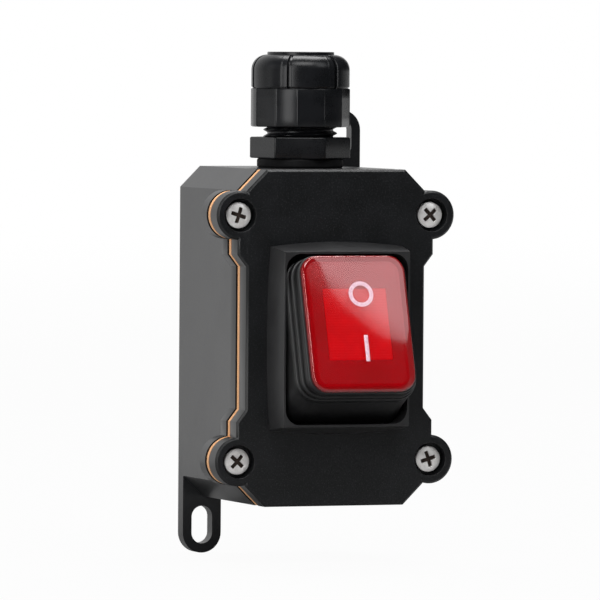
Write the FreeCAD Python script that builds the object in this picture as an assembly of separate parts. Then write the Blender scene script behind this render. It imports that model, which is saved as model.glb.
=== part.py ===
import FreeCAD, Part

import math
import os

# Waterproof surface box with an illuminated rocker switch and a cable gland.
# Millimetres, +Z up. Y = 0 is the wall face, and the object stands out towards -Y.
# "Depth" is the distance from the wall. Heights on the switch are measured from the cover's face.

# Box and cover outline
BODY_WIDTH = 40.0
BODY_HEIGHT = 70.6
CORNER_CHAMFER = 4.45
LUG_OUT = 1.5
LUG_BELOW_TOP = 9.55
LUG_RADIUS = 5.15
SHOULDER_OUT = 1.96
SHOULDER_BELOW_LUG = 8.29
SHOULDER_RUN = 2.53

# Box depth, walls and rim
RIM_DEPTH = 35.4
RIM_STEP = 0.8
RIM_INSET = 0.9
BOX_WALL = 2.5
BOX_FLOOR = 2.5
LUG_FLANGE = 3.4

# Wall ears
EAR_WIDTH = 8.65
EAR_THICKNESS = 3.05
EAR_OUT = 12.1
EAR_SLOT_WIDTH = 4.65
EAR_SLOT_LENGTH = 8.05
EAR_ROOT_OVERLAP = 2.0

# Gasket and cover
GASKET_THICKNESS = 1.6
GASKET_INSET = 0.1
GASKET_WIDTH = 2.7
COVER_THICKNESS = 4.1
COVER_PANEL = 2.6
COVER_RIM_WIDTH = 3.2
COVER_EDGE_BEVEL = 0.45

# Cover screws
SCREW_RADIUS = 1.5
SCREW_LENGTH = 6.0
SCREW_HEAD_RADIUS = 2.75
SCREW_HEAD_HEIGHT = 1.9
SCREW_HEAD_EDGE = 0.6
SCREW_HEAD_FLAT = 1.65
SCREW_HEAD_STEPS = 2
RECESS_WIDTH = 0.75
RECESS_SPAN = 3.1
RECESS_DEPTH = 1.1
RECESS_TURN_ACROSS = 30.0
RECESS_TURN_UP = 12.0
COUNTERBORE_RADIUS = 3.5
COUNTERBORE_DEPTH = 2.3
SCREW_CLEARANCE = 0.2
SCREW_THREAD_FIT = 0.03

# Cable gland
GLAND_DEPTH = 19.3
GLAND_TURN = -21.0
TOWARDS_FRONT = -90.0
HEX_SIDES = 6
THREAD_RADIUS = 7.6
THREAD_BELOW_HEX = 9.0
PANEL_HOLE_CLEARANCE = 0.15
WASHER_RADIUS = 9.15
WASHER_THICKNESS = 2.0
HEX_ACROSS_FLATS = 18.5
HEX_HEIGHT = 4.5
HEX_CORNER_CUT = 0.5
NECK_RADIUS = 7.0
NECK_HEIGHT = 0.9
NUT_THREAD_RADIUS = 7.85
NUT_THREAD_LENGTH = 7.6
THREAD_FIT = 0.05
GLAND_BORE = 5.4
FINGER_COUNT = 8
FINGER_SLOT = 1.1
FINGER_LENGTH = 4.3
FINGER_ROOT_RADIUS = 7.1
FINGER_TIP_RADIUS = 6.3
LOCKNUT_ACROSS_FLATS = 19.0
LOCKNUT_HEIGHT = 4.0

# Dome nut, open by its travel at rest
NUT_TRAVEL = 2.1
NUT_LIFT = 2.15
NUT_HEIGHT = 15.3
NUT_RADIUS = 10.5
NUT_ACROSS_FLATS = 19.97
NUT_FLAT_COUNT = 6
NUT_GRIP_HEIGHT = 8.2
DOME_INSET = 0.2
DOME_SHOULDER = 3.2
DOME_STEPS = 3
DOME_GROOVE_WIDTH = 0.7
DOME_GROOVE_DEPTH = 0.45
DOME_GROOVE_TURN = 3.0
LIP_HEIGHT = 0.6
NUT_ROOF = 1.5
NUT_MOUTH = 4.9
NUT_FLAT_TURN = 13.5

# Seal bush in the gland
SEAL_BORE = 3.4
SEAL_LENGTH = 13.5
SEAL_FLANGE_RADIUS = 6.4
SEAL_FLANGE_THICKNESS = 0.8
SEAL_FIT = 0.1

# Frame and housing of the switch
FRAME_HEIGHT = 6.6
FRAME_RIM_X = 0.4
FRAME_RIM_Z = 0.45
FRAME_SPREAD_X = 0.8
FRAME_SPREAD_Z = 0.9
FRAME_BASE_BOW_X = 0.7
FRAME_BASE_BOW_Z = 1.0
FRAME_FOOT = 0.3
FRAME_FRONT_BOW = 0.08
WELL_MARGIN_X = 2.7
WELL_MARGIN_Z = 3.55
WELL_CORNER = 3.2
WELL_FLOOR = 1.6
HOUSING_HALF_X = 10.9
HOUSING_HALF_Z = 14.3
HOUSING_WALL = 1.4
HOUSING_CORNER = 1.2
HOUSING_FLOOR = 2.3
CUTOUT_CLEARANCE = 0.15
EAR_HALF_LENGTH = 3.2
CLIP_HALF_LENGTH = 4.5
CLIP_RISE = 0.9
CLIP_DROP = 3.8
CLIP_GAP = 0.1
SEAL_RING_GAP = 0.6
SEAL_RING_WIDTH = 1.5
SEAL_RING_HEIGHT = 0.8
SEAL_RING_FIT = 0.05

# Rocker, seen square on and turned about its pivot to the rest position
TILT = 17.5
PIVOT_HEIGHT = 1.8
PIN_RADIUS = 1.5
PIN_FIT = 0.05
PIN_END_GAP = 0.3
CAP_MARGIN_X = 2.1
CAP_MARGIN_Z = 3.2
CAP_CORNER = 3.6
CAP_SIDE = 2.0
CAP_ROOF = 0.9
CAP_WALL = 1.2
CAP_EDGE = 0.5
CARRIER_NECK_GAP = 0.6
CARRIER_FLANGE = 0.85
CARRIER_FLANGE_GROWTH = 1.1
STEM_SIDE_GAP = 0.9
STEM_SWING_GAP = 4.0
STEM_BOTTOM = -1.8
LEG_LENGTH = 3.4
LEG_WALL = 0.95
SEAT_GAP = 0.1

# Boot: three steps that follow the cap, then a skirt down to the frame's well
BOOT_WALL = 0.9
BOOT_STEPS = 3
BOOT_STEP_HEIGHT = 1.42
BOOT_STEP_X = 0.66
BOOT_STEP_Z = 0.25
BOOT_CORNER_GROWTH = 0.4
BOOT_LOW_GAP = 0.4
BOOT_FOOT_THICKNESS = 0.9
BOOT_FOOT_GAP = 0.1
BOOT_FOOT_WIDTH_X = 2.2
BOOT_FOOT_WIDTH_Z = 3.6
SKIRT_CORNER_STEPS = 5

# Lamp and its diffuser
DIFFUSER_HALF_X = 7.0
DIFFUSER_HALF_Z = 7.65
DIFFUSER_FIT = 0.1
DIFFUSER_BOTTOM = 4.85
DIFFUSER_ROOF = 1.4
DIFFUSER_CAVITY_HALF_X = 5.6
DIFFUSER_CAVITY_HALF_Z = 3.2
LAMP_RADIUS = 2.0
LAMP_HEIGHT = 4.4
LEAD_RADIUS = 0.25
LEAD_RISE = 0.5
LEAD_GAP = 0.03
LAMP_STEPS = 3

# Plungers, springs and contact bridges, one set for each pole
POLE_X = 5.0
PLUNGER_RADIUS = 1.25
PLUNGER_FIT = 0.08
PLUNGER_REACH = 12.0
PLUNGER_TAIL = -3.0
PLUNGER_STEPS = 2
BORE_TOP = 4.2
SPRING_WIRE = 0.2
SPRING_TURNS = 4
SPRING_FACETS = 8
SPRING_END_GAP = 0.1
BRIDGE_RATIO = 0.5
BRIDGE_WIDTH = 3.8
BRIDGE_SHEET = 0.8
BRIDGE_HALF_LENGTH = 8.9
TIP_GAP = 0.1
KNIFE_GAP = 0.05
CONTACT_Z = 7.6
CONTACT_RADIUS = 1.2
CONTACT_HEIGHT = 0.5
CONTACT_DOME = 0.15
CONTACT_GAP = 0.05

# Terminals
BLADE_WIDTH = 6.3
BLADE_THICKNESS = 0.8
BLADE_LENGTH = 8.0
BLADE_FIT = 0.05
PAD_HALF_X = 2.4
PAD_HALF_Z = 2.0
PAD_THICKNESS = 0.9
FLOOR_BELOW_KNIFE = 0.15

# Places worked out from the sizes above
HALF_WIDTH = BODY_WIDTH / 2
HALF_HEIGHT = BODY_HEIGHT / 2
COVER_BACK = RIM_DEPTH + GASKET_THICKNESS
FACE_DEPTH = COVER_BACK + COVER_THICKNESS
LUG_X = HALF_WIDTH + LUG_OUT
LUG_Z = HALF_HEIGHT - LUG_BELOW_TOP
LUG_CENTRES = [(sx * LUG_X, sz * LUG_Z) for sx in (-1, 1) for sz in (-1, 1)]
SHOULDER_HALF_WIDTH = HALF_WIDTH + SHOULDER_OUT
SHOULDER_FULL_Z = LUG_Z - SHOULDER_BELOW_LUG
SHOULDER_START_Z = SHOULDER_FULL_Z - SHOULDER_RUN
EAR_REACH = HALF_HEIGHT + EAR_OUT
PIVOT_DEPTH = FACE_DEPTH + PIVOT_HEIGHT
WASHER_TOP = HALF_HEIGHT + WASHER_THICKNESS
HEX_TOP = WASHER_TOP + HEX_HEIGHT
THREAD_TOP = HEX_TOP + NECK_HEIGHT + NUT_THREAD_LENGTH
FINGER_TOP = THREAD_TOP + FINGER_LENGTH
NUT_BOTTOM = HEX_TOP + NUT_LIFT
NUT_LEDGE = NUT_BOTTOM + NUT_GRIP_HEIGHT
NUT_SHOULDER_TOP = NUT_BOTTOM + NUT_HEIGHT
NUT_CEILING = NUT_SHOULDER_TOP - NUT_ROOF
WELL_HALF_X = HOUSING_HALF_X + WELL_MARGIN_X
WELL_HALF_Z = HOUSING_HALF_Z + WELL_MARGIN_Z
FRAME_FRONT_HALF_X = WELL_HALF_X + FRAME_RIM_X
FRAME_FRONT_HALF_Z = WELL_HALF_Z + FRAME_RIM_Z
FRAME_BASE_CORNER_X = FRAME_FRONT_HALF_X + FRAME_SPREAD_X
FRAME_BASE_CORNER_Z = FRAME_FRONT_HALF_Z + FRAME_SPREAD_Z
SEAL_RING_INNER_X = HOUSING_HALF_X + SEAL_RING_GAP
SEAL_RING_INNER_Z = HOUSING_HALF_Z + SEAL_RING_GAP
CAP_HALF_X = WELL_HALF_X - CAP_MARGIN_X
CAP_HALF_Z = WELL_HALF_Z - CAP_MARGIN_Z
BOOT_END_Z = CAP_HALF_Z + BOOT_STEPS * BOOT_STEP_Z
BOOT_END_DROP = BOOT_END_Z * math.sin(math.radians(TILT))
BOOT_LOW_HEIGHT = WELL_FLOOR + BOOT_FOOT_THICKNESS + BOOT_LOW_GAP - PIVOT_HEIGHT
BOOT_HEIGHT = (BOOT_LOW_HEIGHT + BOOT_END_DROP) / math.cos(math.radians(TILT))
CAP_TOP = BOOT_HEIGHT + BOOT_STEPS * BOOT_STEP_HEIGHT + SEAT_GAP + CAP_SIDE
STEM_HALF_X = HOUSING_HALF_X - HOUSING_WALL - STEM_SIDE_GAP
STEM_HALF_Z = HOUSING_HALF_Z - HOUSING_WALL - STEM_SWING_GAP
POLES = (-POLE_X, POLE_X)


def vec(x, depth, z):
    """Point at x, a depth from the wall, and a height z."""
    return FreeCAD.Vector(x, -depth, z)


def polygon(points, depth):
    """Closed wire through (x, z) points at one depth."""
    corners = [vec(x, depth, z) for x, z in points]
    return Part.makePolygon(corners + corners[:1])


def rounded_rectangle(half_x, half_z, radius, depth):
    """Rounded rectangle about the middle, facing forwards, at one depth."""
    diagonal = radius * (1 - math.sqrt(0.5))
    edges = []
    corners = [(1, 1), (-1, 1), (-1, -1), (1, -1)]
    for index, (sx, sz) in enumerate(corners):
        on_side = vec(sx * half_x, depth, sz * (half_z - radius))
        on_end = vec(sx * (half_x - radius), depth, sz * half_z)
        middle = vec(sx * (half_x - diagonal), depth, sz * (half_z - diagonal))
        first, last = (on_side, on_end) if sx * sz > 0 else (on_end, on_side)
        edges.append(Part.Arc(first, middle, last).toShape())
        nx, nz = corners[(index + 1) % len(corners)]
        following = vec(nx * (half_x - radius), depth, nz * half_z)
        if nx * nz > 0:
            following = vec(nx * half_x, depth, nz * (half_z - radius))
        edges.append(Part.LineSegment(last, following).toShape())
    return Part.Wire(edges)


def prism(wire, length):
    """Solid from a wire, carried forwards by a length."""
    return Part.Face(wire).extrude(FreeCAD.Vector(0, -length, 0))


def ruled(lower, upper):
    """Solid between two wires with matching edges."""
    return Part.makeLoft([lower, upper], True, True)


def rounded_block(half_x, half_z, radius, start, end):
    """Rounded bar from one depth to another."""
    return prism(rounded_rectangle(half_x, half_z, radius, start), end - start)


def block(half_x, half_z, start, end, x=0.0, z=0.0):
    """Plain bar about (x, z) from one depth to another."""
    corner = vec(x - half_x, end, z - half_z)
    return Part.makeBox(2 * half_x, end - start, 2 * half_z, corner)


def round_bar(radius, start, end, x=0.0, z=0.0):
    """Round bar along the depth, from one depth to another."""
    return Part.makeCylinder(radius, end - start, vec(x, start, z), FreeCAD.Vector(0, -1, 0))


def upright(radius, bottom, top):
    """Round bar on the gland's axis."""
    return Part.makeCylinder(radius, top - bottom, vec(0, GLAND_DEPTH, bottom))


def revolved(profile):
    """Solid of revolution about the gland's axis from (radius, z) points."""
    corners = [vec(radius, GLAND_DEPTH, z) for radius, z in profile]
    face = Part.Face(Part.makePolygon(corners + corners[:1]))
    return face.revolve(vec(0, GLAND_DEPTH, 0), FreeCAD.Vector(0, 0, 1), 360)


def lathe(profile, x=0.0, z=0.0):
    """Solid of revolution about a line along the depth, from (radius, depth) points."""
    corners = [vec(x + radius, depth, z) for radius, depth in profile]
    face = Part.Face(Part.makePolygon(corners + corners[:1]))
    return face.revolve(vec(x, 0, z), FreeCAD.Vector(0, 1, 0), 360)


def dome_points(radius, half_angle, steps):
    """Points down a round dome from its middle to its edge, as (radius, drop)."""
    angles = [half_angle * index / steps for index in range(steps + 1)]
    return [(radius * math.sin(angle), radius * (1 - math.cos(angle))) for angle in angles]


def corner_radius(across_flats):
    """Distance from a hexagon's middle to its corners."""
    return across_flats / 2 / math.cos(math.pi / HEX_SIDES)


def hexagon(across_flats, bottom, top, turn):
    """Hexagonal bar on the gland's axis, with a corner at the turn angle."""
    corners = []
    for index in range(HEX_SIDES):
        angle = math.radians(turn + 360 / HEX_SIDES * index)
        corners.append(vec(0, GLAND_DEPTH, bottom)
                       + FreeCAD.Vector(math.cos(angle), math.sin(angle), 0)
                       * corner_radius(across_flats))
    face = Part.Face(Part.makePolygon(corners + corners[:1]))
    return face.extrude(FreeCAD.Vector(0, 0, top - bottom))


def turned(shape, angle):
    """Copy turned about the gland's axis."""
    copy = shape.copy()
    copy.rotate(vec(0, GLAND_DEPTH, 0), FreeCAD.Vector(0, 0, 1), angle)
    return copy


def at_rest(shape, angle=-TILT):
    """Copy of a rocker piece, turned from square on to the rest position."""
    copy = shape.copy()
    copy.rotate(vec(0, PIVOT_DEPTH, 0), FreeCAD.Vector(1, 0, 0), angle)
    return copy


def joined(shapes):
    """One solid from overlapping or touching shapes."""
    return shapes[0].fuse(shapes[1:]).removeSplitter()


def chamfered_outline(inset, depth):
    """The body's main outline: a rectangle with cut corners, moved in by an inset."""
    x = HALF_WIDTH - inset
    z = HALF_HEIGHT - inset
    cut = CORNER_CHAMFER - inset * (2 - math.sqrt(2))
    points = [(x, z - cut), (x - cut, z), (cut - x, z), (-x, z - cut)]
    points += [(-px, -pz) for px, pz in points]
    return polygon(points, depth)


def shoulder_outline(sx, sz, inset, depth):
    """One of the four wider flanks that lead into the screw lugs."""
    width = SHOULDER_HALF_WIDTH - inset
    slope = (SHOULDER_HALF_WIDTH - HALF_WIDTH) / (SHOULDER_FULL_Z - SHOULDER_START_Z)
    normal = math.hypot(1, slope)
    start = SHOULDER_START_Z + inset * (normal - 1) / slope
    full = SHOULDER_FULL_Z + inset * (normal - 1) / slope
    inner = HALF_WIDTH - BOX_WALL
    points = [(inner, start), (HALF_WIDTH - inset, start), (width, full), (width, LUG_Z), (inner, LUG_Z)]
    return polygon([(sx * x, sz * z) for x, z in points], depth)


def lugged_block(start, end, inset=0.0, end_inset=None):
    """The cover's whole outline, with lugs and shoulders, from one depth to another."""
    end_inset = inset if end_inset is None else end_inset
    shapes = [ruled(chamfered_outline(inset, start), chamfered_outline(end_inset, end))]
    for sx in (-1, 1):
        for sz in (-1, 1):
            shapes.append(ruled(shoulder_outline(sx, sz, inset, start),
                                shoulder_outline(sx, sz, end_inset, end)))
            centre = vec(sx * LUG_X, start, sz * LUG_Z)
            if end_inset == inset:
                shapes.append(round_bar(LUG_RADIUS - inset, start, end, sx * LUG_X, sz * LUG_Z))
            else:
                shapes.append(Part.makeCone(LUG_RADIUS - inset, LUG_RADIUS - end_inset, end - start,
                                            centre, FreeCAD.Vector(0, -1, 0)))
    return joined(shapes)


def ear(sx, sz):
    """A slotted wall ear, flush with the wall face, at one corner of the box."""
    outer = sx * HALF_WIDTH
    centre_x = sx * (HALF_WIDTH - EAR_WIDTH / 2)
    end_radius = EAR_WIDTH / 2
    root_z = sz * (HALF_HEIGHT - CORNER_CHAMFER - EAR_ROOT_OVERLAP)
    round_z = sz * (EAR_REACH - end_radius)
    inner = sx * (HALF_WIDTH - EAR_WIDTH)
    side_in = Part.LineSegment(vec(inner, 0, root_z), vec(inner, 0, round_z)).toShape()
    tip = Part.Arc(vec(inner, 0, round_z), vec(centre_x, 0, sz * EAR_REACH),
                   vec(outer, 0, round_z)).toShape()
    side_out = Part.LineSegment(vec(outer, 0, round_z), vec(outer, 0, root_z)).toShape()
    root = Part.LineSegment(vec(outer, 0, root_z), vec(inner, 0, root_z)).toShape()
    return prism(Part.Wire([side_in, tip, side_out, root]), EAR_THICKNESS)


def ear_slot(sx, sz):
    """The open slot in a wall ear."""
    half_run = (EAR_SLOT_LENGTH - EAR_SLOT_WIDTH) / 2
    slot_radius = EAR_SLOT_WIDTH / 2
    margin = (EAR_WIDTH - EAR_SLOT_WIDTH) / 2
    centre_x = sx * (HALF_WIDTH - EAR_WIDTH / 2)
    centre_z = sz * (EAR_REACH - margin - EAR_SLOT_LENGTH / 2)
    shapes = [block(slot_radius, half_run, 0, EAR_THICKNESS, centre_x, centre_z)]
    for end in (-1, 1):
        shapes.append(round_bar(slot_radius, 0, EAR_THICKNESS, centre_x, centre_z + end * half_run))
    return joined(shapes)


def back_box():
    """Moulded box: plain chamfered sides, a lugged flange at the front and two wall ears."""
    step_depth = RIM_DEPTH - RIM_STEP
    shapes = [ruled(chamfered_outline(0, 0), chamfered_outline(0, step_depth)),
              lugged_block(step_depth - LUG_FLANGE, step_depth),
              lugged_block(step_depth, RIM_DEPTH, RIM_INSET),
              ear(-1, -1),
              ear(1, 1)]
    body = joined(shapes)
    cavity = ruled(chamfered_outline(BOX_WALL, BOX_FLOOR), chamfered_outline(BOX_WALL, RIM_DEPTH))
    cuts = [cavity, ear_slot(-1, -1), ear_slot(1, 1)]
    cuts.append(upright(THREAD_RADIUS + PANEL_HOLE_CLEARANCE, HALF_HEIGHT - 2 * BOX_WALL,
                        HALF_HEIGHT + BOX_WALL))
    for x, z in LUG_CENTRES:
        cuts.append(round_bar(SCREW_RADIUS + SCREW_THREAD_FIT, step_depth - LUG_FLANGE, RIM_DEPTH, x, z))
    return body.cut(cuts)


def cover_gasket():
    """Flat gasket with the cover's outline, holed at the screws."""
    ring = lugged_block(RIM_DEPTH, COVER_BACK, GASKET_INSET)
    inner = chamfered_outline(GASKET_WIDTH, RIM_DEPTH)
    cuts = [prism(inner, GASKET_THICKNESS)]
    for x, z in LUG_CENTRES:
        cuts.append(round_bar(SCREW_RADIUS + SCREW_CLEARANCE, RIM_DEPTH, COVER_BACK, x, z))
    return ring.cut(cuts)


def front_cover():
    """Cover with a bevelled front edge, a hollow back, counterbored lugs and the switch cut-out."""
    bevel_start = FACE_DEPTH - COVER_EDGE_BEVEL
    body = joined([lugged_block(COVER_BACK, bevel_start),
                   lugged_block(bevel_start, FACE_DEPTH, 0.0, COVER_EDGE_BEVEL)])
    pocket_depth = COVER_THICKNESS - COVER_PANEL
    cuts = [prism(chamfered_outline(COVER_RIM_WIDTH, COVER_BACK), pocket_depth)]
    cuts.append(rounded_block(HOUSING_HALF_X + CUTOUT_CLEARANCE, HOUSING_HALF_Z + CUTOUT_CLEARANCE,
                              HOUSING_CORNER, COVER_BACK, FACE_DEPTH))
    for x, z in LUG_CENTRES:
        cuts.append(round_bar(SCREW_RADIUS + SCREW_CLEARANCE, COVER_BACK, FACE_DEPTH, x, z))
        cuts.append(round_bar(COUNTERBORE_RADIUS, FACE_DEPTH - COUNTERBORE_DEPTH, FACE_DEPTH, x, z))
    return body.cut(cuts)


def cover_screw(x, z):
    """Pan-head screw with a flat-topped head and a cross recess, seated in its counterbore."""
    seat = FACE_DEPTH - COUNTERBORE_DEPTH
    head_top = seat + SCREW_HEAD_HEIGHT
    steps = dome_points(1, math.pi / 2, SCREW_HEAD_STEPS)
    head = [(SCREW_HEAD_FLAT + (SCREW_HEAD_RADIUS - SCREW_HEAD_FLAT) * across,
             head_top - (SCREW_HEAD_HEIGHT - SCREW_HEAD_EDGE) * drop) for across, drop in steps]
    shank = [(SCREW_HEAD_RADIUS, seat), (SCREW_RADIUS, seat), (SCREW_RADIUS, seat - SCREW_LENGTH),
             (0, seat - SCREW_LENGTH)]
    screw = lathe([(0, head_top)] + head + shank, x, z)
    recess_floor = head_top - RECESS_DEPTH
    arms = [block(RECESS_SPAN / 2, RECESS_WIDTH / 2, recess_floor, head_top, x, z),
            block(RECESS_WIDTH / 2, RECESS_SPAN / 2, recess_floor, head_top, x, z)]
    cross = joined(arms)
    turn = math.copysign(RECESS_TURN_ACROSS, x) + math.copysign(RECESS_TURN_UP, z)
    cross.rotate(vec(x, seat, z), FreeCAD.Vector(0, 1, 0), turn)
    return screw.cut(cross)


def gland_washer():
    """Sealing washer between the box and the hexagon."""
    outer = upright(WASHER_RADIUS, HALF_HEIGHT, WASHER_TOP)
    return outer.cut(upright(THREAD_RADIUS + PANEL_HOLE_CLEARANCE, HALF_HEIGHT, WASHER_TOP))


def gland_body():
    """Gland body: lower thread, hexagon, neck, upper thread and slotted clamping fingers."""
    bottom = WASHER_TOP - THREAD_BELOW_HEX
    corner = corner_radius(HEX_ACROSS_FLATS)
    cone = revolved([(0, WASHER_TOP), (corner - HEX_CORNER_CUT, WASHER_TOP),
                     (corner + HEX_CORNER_CUT, WASHER_TOP + HEX_CORNER_CUT),
                     (corner + HEX_CORNER_CUT, HEX_TOP - HEX_CORNER_CUT),
                     (corner - HEX_CORNER_CUT, HEX_TOP), (0, HEX_TOP)])
    hexagonal = hexagon(HEX_ACROSS_FLATS, WASHER_TOP, HEX_TOP, GLAND_TURN).common(cone)
    neck_top = HEX_TOP + NECK_HEIGHT
    stem = revolved([(0, bottom), (THREAD_RADIUS, bottom), (THREAD_RADIUS, WASHER_TOP),
                     (NECK_RADIUS, WASHER_TOP), (NECK_RADIUS, neck_top),
                     (NUT_THREAD_RADIUS, neck_top), (NUT_THREAD_RADIUS, THREAD_TOP),
                     (FINGER_ROOT_RADIUS, THREAD_TOP), (FINGER_TIP_RADIUS, FINGER_TOP),
                     (0, FINGER_TOP)])
    body = joined([stem, hexagonal]).cut(upright(GLAND_BORE, bottom, FINGER_TOP))
    slots = []
    for index in range(FINGER_COUNT // 2):
        slot = Part.makeBox(2 * FINGER_ROOT_RADIUS, FINGER_SLOT, FINGER_LENGTH,
                            vec(-FINGER_ROOT_RADIUS, GLAND_DEPTH + FINGER_SLOT / 2, THREAD_TOP))
        slots.append(turned(slot, 360 / FINGER_COUNT * index))
    return body.cut(slots)


def gland_locknut():
    """Hexagonal nut on the lower thread, against the inside of the box."""
    top = HALF_HEIGHT - BOX_WALL
    nut = hexagon(LOCKNUT_ACROSS_FLATS, top - LOCKNUT_HEIGHT, top, 0)
    return nut.cut(upright(THREAD_RADIUS + THREAD_FIT, top - LOCKNUT_HEIGHT, top))


def gland_seal_bush():
    """Rubber bush inside the fingers, with a flange under the nut's roof."""
    top = NUT_CEILING - SEAL_FIT
    flange_bottom = top - SEAL_FLANGE_THICKNESS
    outer = GLAND_BORE - SEAL_FIT
    return revolved([(SEAL_BORE, top - SEAL_LENGTH), (outer, top - SEAL_LENGTH), (outer, flange_bottom),
                     (SEAL_FLANGE_RADIUS, flange_bottom), (SEAL_FLANGE_RADIUS, top), (SEAL_BORE, top)])


def nut_dome():
    """The nut's domed half, from its ledge to its lip."""
    radius = NUT_RADIUS - DOME_INSET
    lip_radius = radius - DOME_SHOULDER
    lip_top = NUT_SHOULDER_TOP + LIP_HEIGHT
    shoulder = [(lip_radius + across, NUT_SHOULDER_TOP - drop)
                for across, drop in dome_points(DOME_SHOULDER, math.pi / 2, DOME_STEPS)]
    return revolved([(0, lip_top), (lip_radius, lip_top)] + shoulder
                    + [(radius, NUT_LEDGE), (0, NUT_LEDGE)])


def gland_dome_nut():
    """Clamping nut: gripped lower half with flats, grooved dome, and a cone inside over the fingers."""
    grip = upright(NUT_RADIUS, NUT_BOTTOM, NUT_LEDGE)
    facing = GLAND_TURN + TOWARDS_FRONT
    flat_step = 360 / NUT_FLAT_COUNT
    flats = hexagon(NUT_ACROSS_FLATS, NUT_BOTTOM, NUT_LEDGE, facing + NUT_FLAT_TURN + flat_step / 2)
    body = joined([grip.common(flats), nut_dome()])
    inner = NUT_THREAD_RADIUS + THREAD_FIT
    cone_start = THREAD_TOP + NUT_TRAVEL
    cone_end = NUT_CEILING - SEAL_FLANGE_THICKNESS
    flange_room = SEAL_FLANGE_RADIUS + SEAL_FIT
    cuts = [revolved([(0, NUT_BOTTOM), (inner, NUT_BOTTOM), (inner, cone_start), (flange_room, cone_end),
                      (flange_room, NUT_CEILING), (0, NUT_CEILING)]),
            upright(NUT_MOUTH, NUT_CEILING, NUT_SHOULDER_TOP + LIP_HEIGHT)]
    for index in range(NUT_FLAT_COUNT):
        groove = Part.makeBox(NUT_RADIUS, DOME_GROOVE_WIDTH, NUT_SHOULDER_TOP - NUT_LEDGE,
                              vec(NUT_RADIUS - DOME_INSET - DOME_GROOVE_DEPTH,
                                  GLAND_DEPTH + DOME_GROOVE_WIDTH / 2, NUT_LEDGE))
        angle = facing + NUT_FLAT_TURN + flat_step * (index + 0.5) + DOME_GROOVE_TURN
        cuts.append(turned(groove, angle))
    return body.cut(cuts)


def bowed_outline(half_x, half_z, bow_x, bow_z, depth):
    """Four-sided outline whose sides bow outwards between its corners."""
    corners = [(half_x, -half_z), (half_x, half_z), (-half_x, half_z), (-half_x, -half_z)]
    middles = [(half_x + bow_x, 0), (0, half_z + bow_z), (-half_x - bow_x, 0), (0, -half_z - bow_z)]
    edges = []
    for index, middle in enumerate(middles):
        first = corners[index]
        last = corners[(index + 1) % len(corners)]
        edges.append(Part.Arc(vec(first[0], depth, first[1]), vec(middle[0], depth, middle[1]),
                              vec(last[0], depth, last[1])).toShape())
    return Part.Wire(edges)


def switch_frame():
    """Raised frame: a sloping ring whose foot bows out and whose front edge is nearly straight."""
    foot = bowed_outline(FRAME_BASE_CORNER_X, FRAME_BASE_CORNER_Z, FRAME_BASE_BOW_X, FRAME_BASE_BOW_Z,
                         FACE_DEPTH)
    step = bowed_outline(FRAME_BASE_CORNER_X, FRAME_BASE_CORNER_Z, FRAME_BASE_BOW_X, FRAME_BASE_BOW_Z,
                         FACE_DEPTH + FRAME_FOOT)
    front = bowed_outline(FRAME_FRONT_HALF_X, FRAME_FRONT_HALF_Z, FRAME_FRONT_BOW, FRAME_FRONT_BOW,
                          FACE_DEPTH + FRAME_HEIGHT)
    ring = joined([prism(foot, FRAME_FOOT), ruled(step, front)])
    well = rounded_block(WELL_HALF_X, WELL_HALF_Z, WELL_CORNER, FACE_DEPTH + WELL_FLOOR,
                         FACE_DEPTH + FRAME_HEIGHT)
    return ring.cut(well)


def panel_clip(sx):
    """Wedge on the housing's side that locks behind the cover's panel."""
    top = FACE_DEPTH - COVER_PANEL - CLIP_GAP
    x = sx * HOUSING_HALF_X
    corners = [vec(x, top, -CLIP_HALF_LENGTH), vec(x + sx * CLIP_RISE, top, -CLIP_HALF_LENGTH),
               vec(x, top - CLIP_DROP, -CLIP_HALF_LENGTH)]
    face = Part.Face(Part.makePolygon(corners + corners[:1]))
    return face.extrude(FreeCAD.Vector(0, 0, 2 * CLIP_HALF_LENGTH))


def bridge_pivot_depth():
    """Depth of the knife edge that the contact bridges rock on."""
    return PIVOT_DEPTH - PLUNGER_REACH - knife_to_tip()


def knife_to_tip():
    """Distance from the knife edge's centre to the plunger tip's centre, square on."""
    return BLADE_THICKNESS / 2 + KNIFE_GAP + BRIDGE_SHEET + TIP_GAP + PLUNGER_RADIUS


def floor_depth():
    """Depth of the housing's inner floor."""
    return bridge_pivot_depth() - FLOOR_BELOW_KNIFE


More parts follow.
